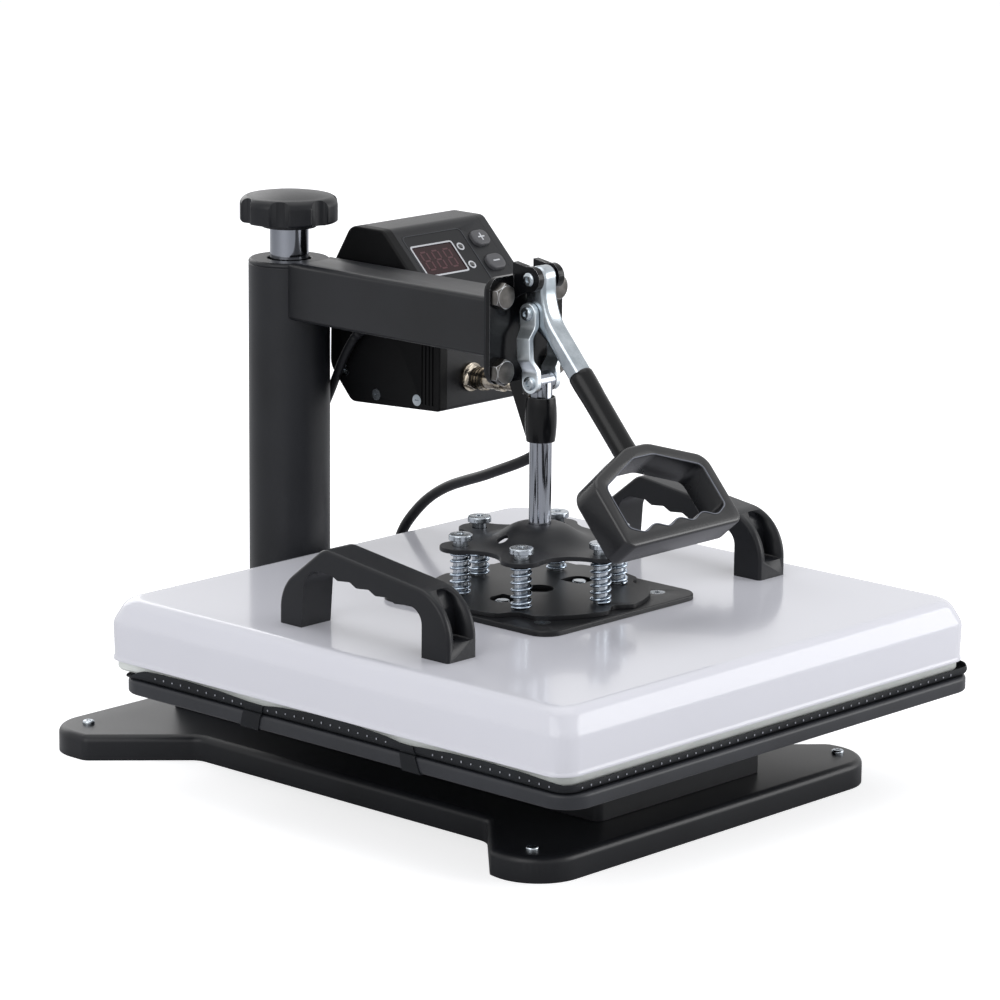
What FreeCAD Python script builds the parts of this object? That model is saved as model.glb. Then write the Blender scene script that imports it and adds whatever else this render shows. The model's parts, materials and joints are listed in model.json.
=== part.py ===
import FreeCAD, Part
import math
import os

# Swing-away heat press, millimetres. +X is the operator's right, +Y is away from the operator,
# +Z is up. The origin lies on the table, under the middle of the heated platen.

V = FreeCAD.Vector
UP = V(0, 0, 1)
X_AXIS = V(1, 0, 0)
Y_AXIS = V(0, 1, 0)

# Clearances
RUN_GAP = 0.05        # shaft in its own bearing or eye, on the radius
FREE_GAP = 0.3        # between pieces that move past each other
SEAT_GAP = 0.2        # between pieces that are pressed together by a screw

# Base
BASE_HALF_X = 177.0
BASE_FRONT_Y = -160.0
BASE_REAR_Y = 303.0
BASE_H = 17.5
BASE_WALL = 3.5
BASE_WAIST_HALF_X = 121.0
BASE_WAIST_FRONT_Y = -67.0
BASE_WAIST_REAR_Y = 203.0
BASE_FOOT_FRONT_DEPTH = 45.0
BASE_FOOT_REAR_DEPTH = 44.0
BASE_FOOT_TAPER = 7.0
BASE_FRONT_CORNER_R = 33.0
BASE_REAR_CORNER_R = 30.0
BASE_EDGE_R = 5.0
BASE_FLOOR_T = 4.0
BASE_SCREW_X = 153.5
BASE_SCREW_INSET = 24.0
BASE_SCREW_REAR_INSET = 23.0
BASE_SCREW_R = 2.5
BASE_SCREW_HEAD_R = 4.2
BASE_SCREW_HEAD_H = 2.6
BASE_BOSS_R = 6.5

# Riser and bed
RISER_HALF_X = 82.0
RISER_FRONT_Y = -128.0
RISER_REAR_Y = 273.0
RISER_H = 50.5
RISER_WALL = 3.0
RISER_EDGE_R = 6.0
BED_HALF_X = 205.5
BED_FRONT_Y = -213.0
BED_REAR_Y = 194.0
BED_T = 10.0
BED_CORNER_R = 20.0
BED_EDGE_R = 2.5
PAD_HALF_X = 188.0
PAD_INSET_Y = 14.0
PAD_T = 1.6
SLEEVE_T = 0.6
SLEEVE_MARGIN = 6.0
STRAP_W = 17.0
STRAP_T = 1.0
STRAP_YS = (60.5, -80.5)
STRAP_TUCK = 16.0

# Post and column
POST_Y = 237.6
POST_R = 22.5
POST_WALL = 5.0
POST_TOP_Z = 296.0
POST_FLANGE_HALF = 35.0
POST_FLANGE_T = 6.0
FLANGE_BOLT_AT = 26.0
M8_R = 4.0
M8_HEAD_ACROSS = 13.0
M8_HEAD_H = 5.3
BUSH_LENGTH = 30.0
COLUMN_R = 28.4
COLUMN_WALL = 3.0
COLUMN_FOOT_GAP = 6.0
COLUMN_TOP_Z = 328.0
CAP_T = 3.0
CAP_HOLE_R = 15.5
CAP_SPIGOT = 5.0
NUT_T = 12.0

# Height screw and its knob
SCREW_R = 8.0
SCREW_TAIL = 40.0
THRUST_Z = 314.0
THRUST_T = 8.0
WASHER_T = 1.5
WASHER_R = 13.0
LOCK_COLLAR_H = 2.6
LOCK_COLLAR_R = 12.0
KNOB_SLEEVE_R = 13.5
KNOB_R = 34.3
KNOB_Z = 356.8
KNOB_TOP_Z = 377.7
KNOB_SKIRT_Z = 353.0
KNOB_SKIRT_R = 20.0
KNOB_CROWN = 3.0
KNOB_LOBES = 7
KNOB_SCALLOP_R = 9.0
KNOB_SCALLOP_DEPTH = 4.0
KNOB_EDGE_R = 6.0

# Arm
ARM_W = 41.0
ARM_TOP_Z = 332.0
ARM_H = 40.5
ARM_WALL = 3.0
ARM_EDGE_R = 3.5
END_PLATE_HALF_X = 33.0
PLATE_HALF_X = 35.5
PLATE_Z = 277.0
PLATE_TOP_Z = 348.5
PLATE_FACE_Y = 14.0
PLATE_T = 3.5
END_PLATE_T = 4.0
PLATE_CORNER_R = 8.0
PLATE_BOLT_X = 26.0
PLATE_BOLT_ZS = (336.0, 285.5)
M10_R = 5.0
M10_HEAD_ACROSS = 16.0
M10_HEAD_H = 6.4

# Toggle
TOP_PIN_Z = 347.0
CRANK = 23.5
LINK_LENGTH = 46.5
OVER_CENTRE = 2.75
LEVER_SWING = 95.0
PIN_R = 3.0
PIN_HEAD_R = 4.6
PIN_HEAD_T = 1.8
CHEEK_HALF = 7.0
EAR_T = 5.0
EAR_R = 8.5
LINK_T = 4.0
LINK_EYE_R = 7.0
LINK_JOGGLE = 5.2
LINK_WAIST_HALF = 5.8
BARREL_Z = 237.0
BARREL_TOP_Z = 267.0
BARREL_END_R = 9.6
BARREL_WAIST_R = 10.7
BARREL_WALL = 1.6
RIB_HALF_T = 2.5

# Lever
LEVER_DROP = 48.6
LEVER_ROOT_R = 8.2
LEVER_BAR_DEPTH = 12.0
LEVER_WALL = 2.5
LEVER_BAR_LENGTH = 62.5
GRIP_R = 8.5
GRIP_LENGTH = 63.3
GRIP_BORE_R = 6.4
HANDLE_HALF_W = 56.5
HANDLE_ROOF = 18.0
HANDLE_SIDE = 51.5
HANDLE_WALL = 9.5
HANDLE_DEPTH = 23.0
HANDLE_CORNER_R = 7.0
HANDLE_EDGE_R = 2.0

# Plunger and spring plates
ROD_R = 7.5
ROD_Z = 178.0
LUG_EYE_R = 6.6
LUG_FLATS = 16.0
SPRING_PLATE_TOP_Z = 169.0
SPRING_PLATE_T = 3.0
DOME_TOP_Z = 181.0
DOME_R = 25.0
BOLT_CIRCLE_R = 55.0
BOLT_COUNT = 6
BOLT_START = 30.0
LOBE_R = 14.0
WAIST_R = 49.5
DISC_T = 3.0
DISC_R = 74.5
DISC_NOTCH_R = 64.5
DISC_HOLE_R = 10.0
SHOULDER_R = 5.0
SHOULDER_HEAD_R = 8.0
SHOULDER_HEAD_H = 4.0
SHOULDER_TOP_Z = 177.0
SPRING_MEAN_R = 6.5
SPRING_WIRE_R = 0.8
SPRING_PITCH = 6.6

# Platen and cover
COVER_HALF_X = 204.0
COVER_HALF_Y = 207.5
COVER_RIM_Z = 88.0
COVER_TOP_Z = 129.4
COVER_CORNER_R = 15.0
COVER_BEVEL_IN = 7.0
COVER_BEVEL_H = 15.5
COVER_WALL = 2.0
COVER_FOLD_R = 7.0
PLATEN_GAP = 1.0
PLATEN_HALF_X = COVER_HALF_X - COVER_WALL - PLATEN_GAP
PLATEN_HALF_Y = COVER_HALF_Y - COVER_WALL - PLATEN_GAP
PLATEN_Z = 80.9
PLATEN_T = 14.0
PLATEN_CORNER_R = 13.0
PLATEN_BOSS_R = 9.0
MAT_T = 24.0
MAT_MARGIN = 14.0
MOUNT_HALF = 77.5
MOUNT_T = 3.6
MOUNT_CORNER_R = 15.0
MOUNT_SCREW_X = 57.0
MOUNT_SCREW_Y = 55.0
MOUNT_SCREW_R = 3.0
MOUNT_SCREW_HEAD_R = 5.6
SLOT_SCREW_AT = (38.0, -2.0)

# Side handles
SIDE_X = 154.0
SIDE_HALF_W = 13.5
SIDE_FRONT_Y = -75.0
SIDE_REAR_Y = 77.0
SIDE_FRONT_LEG = 23.0
SIDE_REAR_LEG = 20.5
SIDE_CREST_Y = 37.0
SIDE_CREST_Z = 185.5
SIDE_FRONT_Z = 170.5
SIDE_REAR_Z = 154.0
SIDE_SHOULDER_R = 33.0
SIDE_BAR_T = 16.0
SIDE_FRONT_BAR_T = 9.0
SIDE_SCALLOP = 2.4
SIDE_POCKET_DEPTH = 15.0
SIDE_POCKET_FOOT = 12.0
SIDE_WALL = 5.0

# Control box
BOX_X = 30.0
BOX_FAR_X = 132.0
BOX_WALL = 2.5
BOX_CAP_T = 8.0
CAP_RIB_DEPTH = 1.2
BOX_FRONT_Y = 122.0
BOX_SLOPE_Z = 299.0
BOX_FOLD_Y = 176.5
BOX_TOP_Z = 353.5
BOX_REAR_Y = 228.0
BOX_OUTLINE = (
    (BOX_FRONT_Y, 233.5), (BOX_FRONT_Y, BOX_SLOPE_Z), (BOX_FOLD_Y, BOX_TOP_Z), (208.0, BOX_TOP_Z),
    (BOX_REAR_Y - 1.0, 322.0), (BOX_REAR_Y, 252.0), (207.0, 229.0),
)
BOX_CORNERS = (3.0, 4.0, 8.0, 10.0, 12.0, 14.0, 8.0)
PANEL_X = 42.0
PANEL_FAR_X = 101.0
PANEL_S = 16.5
PANEL_FAR_S = 69.5
PANEL_T = 0.8
WINDOW_X = 45.0
WINDOW_FAR_X = 85.0
WINDOW_S = 34.5
WINDOW_FAR_S = 59.5
LED_X = 91.0
LED_SS = (54.0, 38.0)
LED_R = 1.6
KEY_X = 112.5
KEY_SS = (57.5, 36.5)
KEY_HALF_W = 7.8
KEY_HALF_H = 6.3
KEY_PROUD = 3.0
KEY_TRAVEL = 0.8
BOARD_MARGIN = 6.0
BOARD_H = 74.0
BOARD_T = 1.6
BOARD_REAR_GAP = 18.4
SOCKET_X = 61.0
SOCKET_Z = 254.6
SOCKET_R = 8.5
ROCKER_Y = 165.0
ROCKER_Z = 275.0
ROCKER_HALF_Y = 6.5
ROCKER_HALF_Z = 10.0
ROCKER_TILT = 14.0
ROCKER_PIN_R = 0.75

# Cables
HEATER_CABLE_R = 3.8
POWER_CABLE_R = 3.1
GLAND_Z = 99.2
GLAND_REACH = 13.0
GLAND_R = 6.4
HEATER_ROUTE = (
    (61.0, 75.0, 254.6), (61.0, 61.5, 254.6), (61.0, 49.5, 246.0), (60.5, 45.5, 231.5),
    (60.5, 50.0, 217.0), (62.0, 63.0, 207.0), (65.0, 81.0, 198.5), (69.0, 101.0, 190.5),
    (74.0, 122.0, 182.0), (79.0, 143.5, 174.5), (83.5, 165.5, 166.0), (87.5, COVER_HALF_Y - 20.0, 153.5),
    (90.0, COVER_HALF_Y - 2.5, 138.0), (91.0, COVER_HALF_Y + 7.5, 126.0),
    (91.5, COVER_HALF_Y + GLAND_REACH, 114.0), (91.5, COVER_HALF_Y + GLAND_REACH, GLAND_Z + 6.3),
)
POWER_ROUTE = (
    (24.4, 176.6, 286.8), (24.4, 190.5, 285.0), (24.2, 203.5, 269.5), (24.6, 214.4, 250.0),
    (30.0, 226.0, 235.2), (35.0, 239.0, 219.0), (38.5, 253.0, 199.0), (39.5, 267.0, 172.0),
    (36.5, 278.0, 139.0), (33.0, 286.0, 106.0), (31.0, 292.0, 75.0), (34.5, 298.5, 46.0),
    (43.5, 307.0, 23.0), (56.5, 317.5, 9.0), (67.0, 330.0, 3.9), (72.0, 345.0, 3.2), (74.0, 362.0, 3.2),
)
COIL_R = 36.5
COIL_HALF_W = 10.5
COIL_H = 14.5
COIL_LIFT = 0.1


def block(x0, x1, y0, y1, z0, z1):
    return Part.makeBox(x1 - x0, y1 - y0, z1 - z0, V(x0, y0, z0))


def rod(r, length, at, along=UP):
    return Part.makeCylinder(r, length, at, along)


def ring(r_out, r_in, length, at, along=UP):
    """Tube with its bore cut right through."""
    return rod(r_out, length, at, along).cut(rod(r_in, length + 2, at - along, along))


def hex_head(across, height, at, along):
    """Bolt head with its corners turned off."""
    corner_r = across / math.sqrt(3)
    side = along.cross(X_AXIS if abs(along.x) < 0.9 else Y_AXIS).normalize()
    other = along.cross(side)
    corners = []
    for i in range(7):
        turn = math.radians(60 * i)
        corners.append(at + side * (corner_r * math.cos(turn)) + other * (corner_r * math.sin(turn)))
    prism = Part.Face(Part.makePolygon(corners)).extrude(along * height)
    cone = Part.makeCone(corner_r + height, across / 2 - 0.4, height + corner_r - across / 2 + 0.4,
                         at - along * (corner_r - across / 2 + 0.4), along)
    return prism.common(cone)


def bolt(across, head_h, r, length, at, along):
    """Hexagon bolt; at is the seat of its head, and along points from the seat to the head's top."""
    return hex_head(across, head_h, at, along).fuse(rod(r, length, at - along * length, along))


def rounded(points, radii, place):
    """Closed outline of straight runs joined by tangent arcs; place turns its points into space."""
    flat = [V(p[0], p[1], 0) for p in points]
    runs = []
    count = len(flat)
    for i in range(count):
        corner, back, ahead = flat[i], flat[i - 1], flat[(i + 1) % count]
        into = (back - corner).normalize()
        out = (ahead - corner).normalize()
        half = into.getAngle(out) / 2
        if radii[i] <= 0:
            runs.append((corner, None, corner))
            continue
        reach = radii[i] / math.tan(half)
        middle = (into + out).normalize()
        centre = corner + middle * (radii[i] / math.sin(half))
        runs.append((corner + into * reach, centre - middle * radii[i], corner + out * reach))
    edges = []
    for i in range(count):
        start, mid, end = runs[i]
        if mid is not None:
            edges.append(Part.Arc(place(start), place(mid), place(end)).toShape())
        following = runs[(i + 1) % count][0]
        if end.distanceToPoint(following) > 1e-4:
            edges.append(Part.LineSegment(place(end), place(following)).toShape())
    return Part.Wire(edges)


def prism(points, radii, place, along):
    return Part.Face(rounded(points, radii, place)).extrude(along)


def in_xy(z):
    return lambda p: V(p.x, p.y, z)


def in_yz(x):
    return lambda p: V(x, p.x, p.y)


def in_xz(y):
    return lambda p: V(p.x, y, p.y)


def slab(x0, x1, y0, y1, z0, z1, r):
    """Flat block with rounded vertical corners."""
    return prism(((x0, y0), (x1, y0), (x1, y1), (x0, y1)), (r,) * 4, in_xy(z0), V(0, 0, z1 - z0))


def edges_at(solid, z):
    """Edges that lie flat at height z."""
    return [e for e in solid.Edges if abs(e.BoundBox.ZMin - z) < 1e-4 and abs(e.BoundBox.ZMax - z) < 1e-4]


def mirrored(solid):
    return solid.mirror(V(0, 0, 0), X_AXIS)


def polar(r, degrees, z=0.0):
    turn = math.radians(degrees)
    return V(r * math.cos(turn), r * math.sin(turn), z)


# Base

def base_outline(z):
    front_y = BASE_FRONT_Y + BASE_FOOT_FRONT_DEPTH
    rear_y = BASE_REAR_Y - BASE_FOOT_REAR_DEPTH
    right = [(BASE_HALF_X, BASE_FRONT_Y), (BASE_HALF_X - BASE_FOOT_TAPER, front_y),
             (BASE_WAIST_HALF_X, BASE_WAIST_FRONT_Y), (BASE_WAIST_HALF_X, BASE_WAIST_REAR_Y),
             (BASE_HALF_X, rear_y), (BASE_HALF_X, BASE_REAR_Y)]
    left = [(-x, y) for x, y in reversed(right)]
    radii = [BASE_FRONT_CORNER_R, 8, 15, 15, 8, BASE_REAR_CORNER_R]
    return Part.Face(rounded(right + left, radii + radii[::-1], in_xy(z)))


def base_screw_places():
    places = []
    for x in (-BASE_SCREW_X, BASE_SCREW_X):
        places.append(V(x, BASE_FRONT_Y + BASE_SCREW_INSET, 0))
        places.append(V(x, BASE_REAR_Y - BASE_SCREW_REAR_INSET, 0))
    return places


def base_shell():
    shell = base_outline(0).extrude(UP * BASE_H)
    shell = shell.makeFillet(BASE_EDGE_R, edges_at(shell, BASE_H))
    hollow = base_outline(0).makeOffset2D(-BASE_WALL).extrude(UP * (BASE_H - BASE_WALL))
    shell = shell.cut(hollow)
    for at in base_screw_places():
        shell = shell.fuse(rod(BASE_BOSS_R, BASE_H - BASE_FLOOR_T - 1, at + UP * BASE_FLOOR_T))
    for at in base_screw_places():
        shell = shell.cut(rod(BASE_SCREW_R + RUN_GAP, BASE_H + 1, at))
    return shell


def base_floor():
    floor = base_outline(0).makeOffset2D(-BASE_WALL - SEAT_GAP).extrude(UP * BASE_FLOOR_T)
    for at in base_screw_places():
        floor = floor.cut(rod(BASE_SCREW_R + RUN_GAP, BASE_FLOOR_T, at + UP))
    return floor


def pan_screw(at, length):
    """Pan-head screw with a cross recess; at is the seat of its head."""
    head = rod(BASE_SCREW_HEAD_R, BASE_SCREW_HEAD_H, at)
    head = head.makeFillet(BASE_SCREW_HEAD_H * 0.55, edges_at(head, at.z + BASE_SCREW_HEAD_H))
    arm, slot = BASE_SCREW_HEAD_R * 0.55, 0.5
    for half_x, half_y in ((arm, slot), (slot, arm)):
        head = head.cut(block(at.x - half_x, at.x + half_x, at.y - half_y, at.y + half_y,
                              at.z + 1.0, at.z + BASE_SCREW_HEAD_H))
    return head.fuse(rod(BASE_SCREW_R, length, at - UP * length))


def base_screws():
    return [pan_screw(at + UP * BASE_H, BASE_H - 1.2) for at in base_screw_places()]


RISER_TOP_Z = BASE_H + RISER_H
BED_TOP_Z = RISER_TOP_Z + BED_T
PAD_TOP_Z = BED_TOP_Z + PAD_T


def riser_beam():
    beam = slab(-RISER_HALF_X, RISER_HALF_X, RISER_FRONT_Y, RISER_REAR_Y, BASE_H, RISER_TOP_Z, RISER_EDGE_R)
    beam = beam.makeFillet(RISER_WALL, edges_at(beam, RISER_TOP_Z))
    hollow = slab(-RISER_HALF_X + RISER_WALL, RISER_HALF_X - RISER_WALL, RISER_FRONT_Y + RISER_WALL,
                  RISER_REAR_Y - RISER_WALL, BASE_H, RISER_TOP_Z - RISER_WALL, RISER_EDGE_R - RISER_WALL)
    beam = beam.cut(hollow)
    for at in flange_bolt_places():
        beam = beam.cut(rod(M8_R + RUN_GAP, RISER_WALL + 2, V(at.x, at.y, RISER_TOP_Z - RISER_WALL - 1)))
    return beam


def bed_plate():
    plate = slab(-BED_HALF_X, BED_HALF_X, BED_FRONT_Y, BED_REAR_Y, RISER_TOP_Z, BED_TOP_Z, BED_CORNER_R)
    plate = plate.makeFillet(BED_EDGE_R, edges_at(plate, BED_TOP_Z))
    return plate.makeChamfer(1.0, edges_at(plate, RISER_TOP_Z))


def silicone_pad():
    return slab(-PAD_HALF_X, PAD_HALF_X, BED_FRONT_Y + PAD_INSET_Y, BED_REAR_Y - PAD_INSET_Y,
                BED_TOP_Z, PAD_TOP_Z, 8)


def pad_sleeve():
    """Cloth cover of the pad: a top sheet and a hem that reaches the bed."""
    margin = SLEEVE_MARGIN
    outer = slab(-PAD_HALF_X - margin, PAD_HALF_X + margin, BED_FRONT_Y + PAD_INSET_Y - margin,
                 BED_REAR_Y - PAD_INSET_Y + margin, BED_TOP_Z, PAD_TOP_Z + 0.1 + SLEEVE_T, 10)
    inner = slab(-PAD_HALF_X - 0.3, PAD_HALF_X + 0.3, BED_FRONT_Y + PAD_INSET_Y - 0.3,
                 BED_REAR_Y - PAD_INSET_Y + 0.3, BED_TOP_Z, PAD_TOP_Z + 0.1, 8)
    return outer.cut(inner)


def pad_straps():
    """Straps that hold the sleeve, folded round the bed's long edges."""
    inner_x = PAD_HALF_X + SLEEVE_MARGIN + 0.3
    edge_x = BED_HALF_X + 0.2
    outline = ((inner_x, BED_TOP_Z + 0.1), (edge_x, BED_TOP_Z + 0.1), (edge_x, RISER_TOP_Z - 0.2),
               (edge_x - STRAP_TUCK, RISER_TOP_Z - 0.2), (edge_x - STRAP_TUCK, RISER_TOP_Z - 0.2 - STRAP_T),
               (edge_x + STRAP_T, RISER_TOP_Z - 0.2 - STRAP_T), (edge_x + STRAP_T, BED_TOP_Z + 0.1 + STRAP_T),
               (inner_x, BED_TOP_Z + 0.1 + STRAP_T))
    straps = []
    for y in STRAP_YS:
        strap = prism(outline, (0,) * len(outline), in_xz(y - STRAP_W / 2), Y_AXIS * STRAP_W)
        straps += [strap, mirrored(strap)]
    return straps


# Post, on the rear of the riser

def flange_bolt_places():
    spots = []
    for x in (-FLANGE_BOLT_AT, FLANGE_BOLT_AT):
        for y in (-FLANGE_BOLT_AT, FLANGE_BOLT_AT):
            spots.append(V(x, POST_Y + y, RISER_TOP_Z + POST_FLANGE_T))
    return spots


def inner_post():
    """Post tube welded to its foot plate, with the nut of the height screw welded into its top."""
    centre = V(0, POST_Y, RISER_TOP_Z)
    half = POST_FLANGE_HALF
    foot = slab(-half, half, POST_Y - half, POST_Y + half, RISER_TOP_Z, RISER_TOP_Z + POST_FLANGE_T, 6)
    for at in flange_bolt_places():
        foot = foot.cut(rod(M8_R + RUN_GAP, POST_FLANGE_T + 2, at - UP * (POST_FLANGE_T + 1)))
    tube = ring(POST_R, POST_R - POST_WALL, POST_TOP_Z - RISER_TOP_Z - POST_FLANGE_T,
                centre + UP * POST_FLANGE_T)
    nut = ring(POST_R, SCREW_R + RUN_GAP, NUT_T, V(0, POST_Y, POST_TOP_Z))
    return foot.fuse([tube, nut]).removeSplitter()


def flange_bolts():
    length = POST_FLANGE_T + RISER_WALL + 2
    return [bolt(M8_HEAD_ACROSS, M8_HEAD_H, M8_R, length, at, UP) for at in flange_bolt_places()]


COLUMN_Z = RISER_TOP_Z + POST_FLANGE_T + COLUMN_FOOT_GAP
COLUMN_BORE_R = COLUMN_R - COLUMN_WALL


def post_bushes():
    """Plain bearings on the post that the column turns and slides on."""
    places = (COLUMN_Z + 4, POST_TOP_Z - BUSH_LENGTH - 2)
    return [ring(COLUMN_BORE_R - FREE_GAP, POST_R, BUSH_LENGTH, V(0, POST_Y, z)) for z in places]


# Height screw

def thrust_washers():
    """The two washers between the height screw and the arm's thrust plate."""
    low = THRUST_Z - SEAT_GAP - WASHER_T
    high = THRUST_Z + THRUST_T + SEAT_GAP
    return [ring(WASHER_R, SCREW_R + FREE_GAP, WASHER_T, V(0, POST_Y, z)) for z in (low, high)]


SLEEVE_FOOT_Z = THRUST_Z + THRUST_T + 2 * SEAT_GAP + WASHER_T


def height_screw():
    """Threaded spindle with the collar that lifts the arm."""
    foot = POST_TOP_Z - SCREW_TAIL
    spindle = rod(SCREW_R, KNOB_Z + 6 - foot, V(0, POST_Y, foot))
    collar_top = THRUST_Z - 2 * SEAT_GAP - WASHER_T
    collar = rod(LOCK_COLLAR_R, LOCK_COLLAR_H, V(0, POST_Y, collar_top - LOCK_COLLAR_H))
    return spindle.fuse(collar)


def knob_sleeve():
    return ring(KNOB_SLEEVE_R, SCREW_R + RUN_GAP, KNOB_SKIRT_Z + 2 - SLEEVE_FOOT_Z,
                V(0, POST_Y, SLEEVE_FOOT_Z))


def height_knob():
    """Lobed hand knob, crowned on top and stepped underneath."""
    r, edge = KNOB_R, KNOB_EDGE_R
    top = KNOB_TOP_Z - KNOB_CROWN
    crown_r = ((r - edge) ** 2 + KNOB_CROWN ** 2) / (2 * KNOB_CROWN)
    crown_z = KNOB_TOP_Z - crown_r + math.sqrt(crown_r ** 2 - (r - edge) ** 2 / 4)
    centre = V(0, POST_Y, 0)
    at = lambda radius, z: centre + V(radius, 0, z)
    corner = edge * (1 - math.sqrt(0.5))
    edges = [
        Part.LineSegment(at(0, KNOB_SKIRT_Z), at(KNOB_SKIRT_R - 1, KNOB_SKIRT_Z)),
        Part.LineSegment(at(KNOB_SKIRT_R - 1, KNOB_SKIRT_Z), at(KNOB_SKIRT_R, KNOB_Z)),
        Part.LineSegment(at(KNOB_SKIRT_R, KNOB_Z), at(r - 2, KNOB_Z)),
        Part.Arc(at(r - 2, KNOB_Z), at(r - 0.6, KNOB_Z + 0.6), at(r, KNOB_Z + 2)),
        Part.LineSegment(at(r, KNOB_Z + 2), at(r, top - edge)),
        Part.Arc(at(r, top - edge), at(r - corner, top - corner), at(r - edge, top)),
        Part.Arc(at(r - edge, top), at((r - edge) / 2, crown_z), at(0, KNOB_TOP_Z)),
        Part.LineSegment(at(0, KNOB_TOP_Z), at(0, KNOB_SKIRT_Z)),
    ]
    body = Part.Face(Part.Wire([e.toShape() for e in edges])).revolve(centre, UP, 360)
    reach = r - KNOB_SCALLOP_DEPTH + KNOB_SCALLOP_R
    for i in range(KNOB_LOBES):
        body = body.cut(rod(KNOB_SCALLOP_R, KNOB_TOP_Z, centre + polar(reach, -95 + 360.0 * i / KNOB_LOBES)))
    bore = rod(KNOB_SLEEVE_R + RUN_GAP, 2 + SEAT_GAP, centre + UP * KNOB_SKIRT_Z)
    return body.cut(bore).cut(rod(SCREW_R + RUN_GAP, KNOB_Z + 6, centre))


# Column and arm

def column_tube():
    """Outer column with the thrust plate welded inside its top."""
    tube = ring(COLUMN_R, COLUMN_BORE_R, COLUMN_TOP_Z - COLUMN_Z, V(0, POST_Y, COLUMN_Z))
    thrust_plate = ring(COLUMN_BORE_R, SCREW_R + FREE_GAP, THRUST_T, V(0, POST_Y, THRUST_Z))
    return tube.fuse(thrust_plate)


def column_cap():
    """Ring cap pressed into the column, with the knob's sleeve passing through it."""
    cap = ring(COLUMN_R, CAP_HOLE_R, CAP_T, V(0, POST_Y, COLUMN_TOP_Z))
    outer_top = [e for e in edges_at(cap, COLUMN_TOP_Z + CAP_T) if e.Curve.Radius > CAP_HOLE_R + 1]
    cap = cap.makeChamfer(CAP_T * 0.45, outer_top)
    spigot = ring(COLUMN_BORE_R - RUN_GAP, COLUMN_BORE_R - 2, CAP_SPIGOT,
                  V(0, POST_Y, COLUMN_TOP_Z - CAP_SPIGOT))
    return cap.fuse(spigot)


END_PLATE_Y = PLATE_FACE_Y + PLATE_T
ARM_BACK_Y = END_PLATE_Y + END_PLATE_T


def arm_beam():
    """Square tube saddled onto the column, with its bolting plate on the front end."""
    half = ARM_W / 2
    low = ARM_TOP_Z - ARM_H
    outer = ((-half, low), (half, low), (half, ARM_TOP_Z), (-half, ARM_TOP_Z))
    inner = ((-half + ARM_WALL, low + ARM_WALL), (half - ARM_WALL, low + ARM_WALL),
             (half - ARM_WALL, ARM_TOP_Z - ARM_WALL), (-half + ARM_WALL, ARM_TOP_Z - ARM_WALL))
    length = POST_Y - ARM_BACK_Y
    tube = prism(outer, (ARM_EDGE_R,) * 4, in_xz(ARM_BACK_Y), Y_AXIS * length)
    tube = tube.cut(prism(inner, (0.8,) * 4, in_xz(ARM_BACK_Y), Y_AXIS * length))
    tube = tube.cut(rod(COLUMN_R, ARM_H + 20, V(0, POST_Y, low - 10)))
    plate = plate_outline(END_PLATE_HALF_X, 2.0, END_PLATE_Y, ARM_BACK_Y - END_PLATE_Y)
    for at in plate_bolt_places(END_PLATE_Y):
        plate = plate.cut(rod(M10_R + RUN_GAP, 3 * END_PLATE_T, at - Y_AXIS * END_PLATE_T, Y_AXIS))
    return tube.fuse(plate)


def plate_outline(half_x, inset, y, thickness):
    low, high = PLATE_Z + inset, PLATE_TOP_Z - inset
    corners = ((-half_x, low), (half_x, low), (half_x, high), (-half_x, high))
    return prism(corners, (PLATE_CORNER_R,) * 4, in_xz(y), Y_AXIS * thickness)


def plate_bolt_places(y):
    return [V(x, y, z) for x in (-PLATE_BOLT_X, PLATE_BOLT_X) for z in PLATE_BOLT_ZS]


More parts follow.
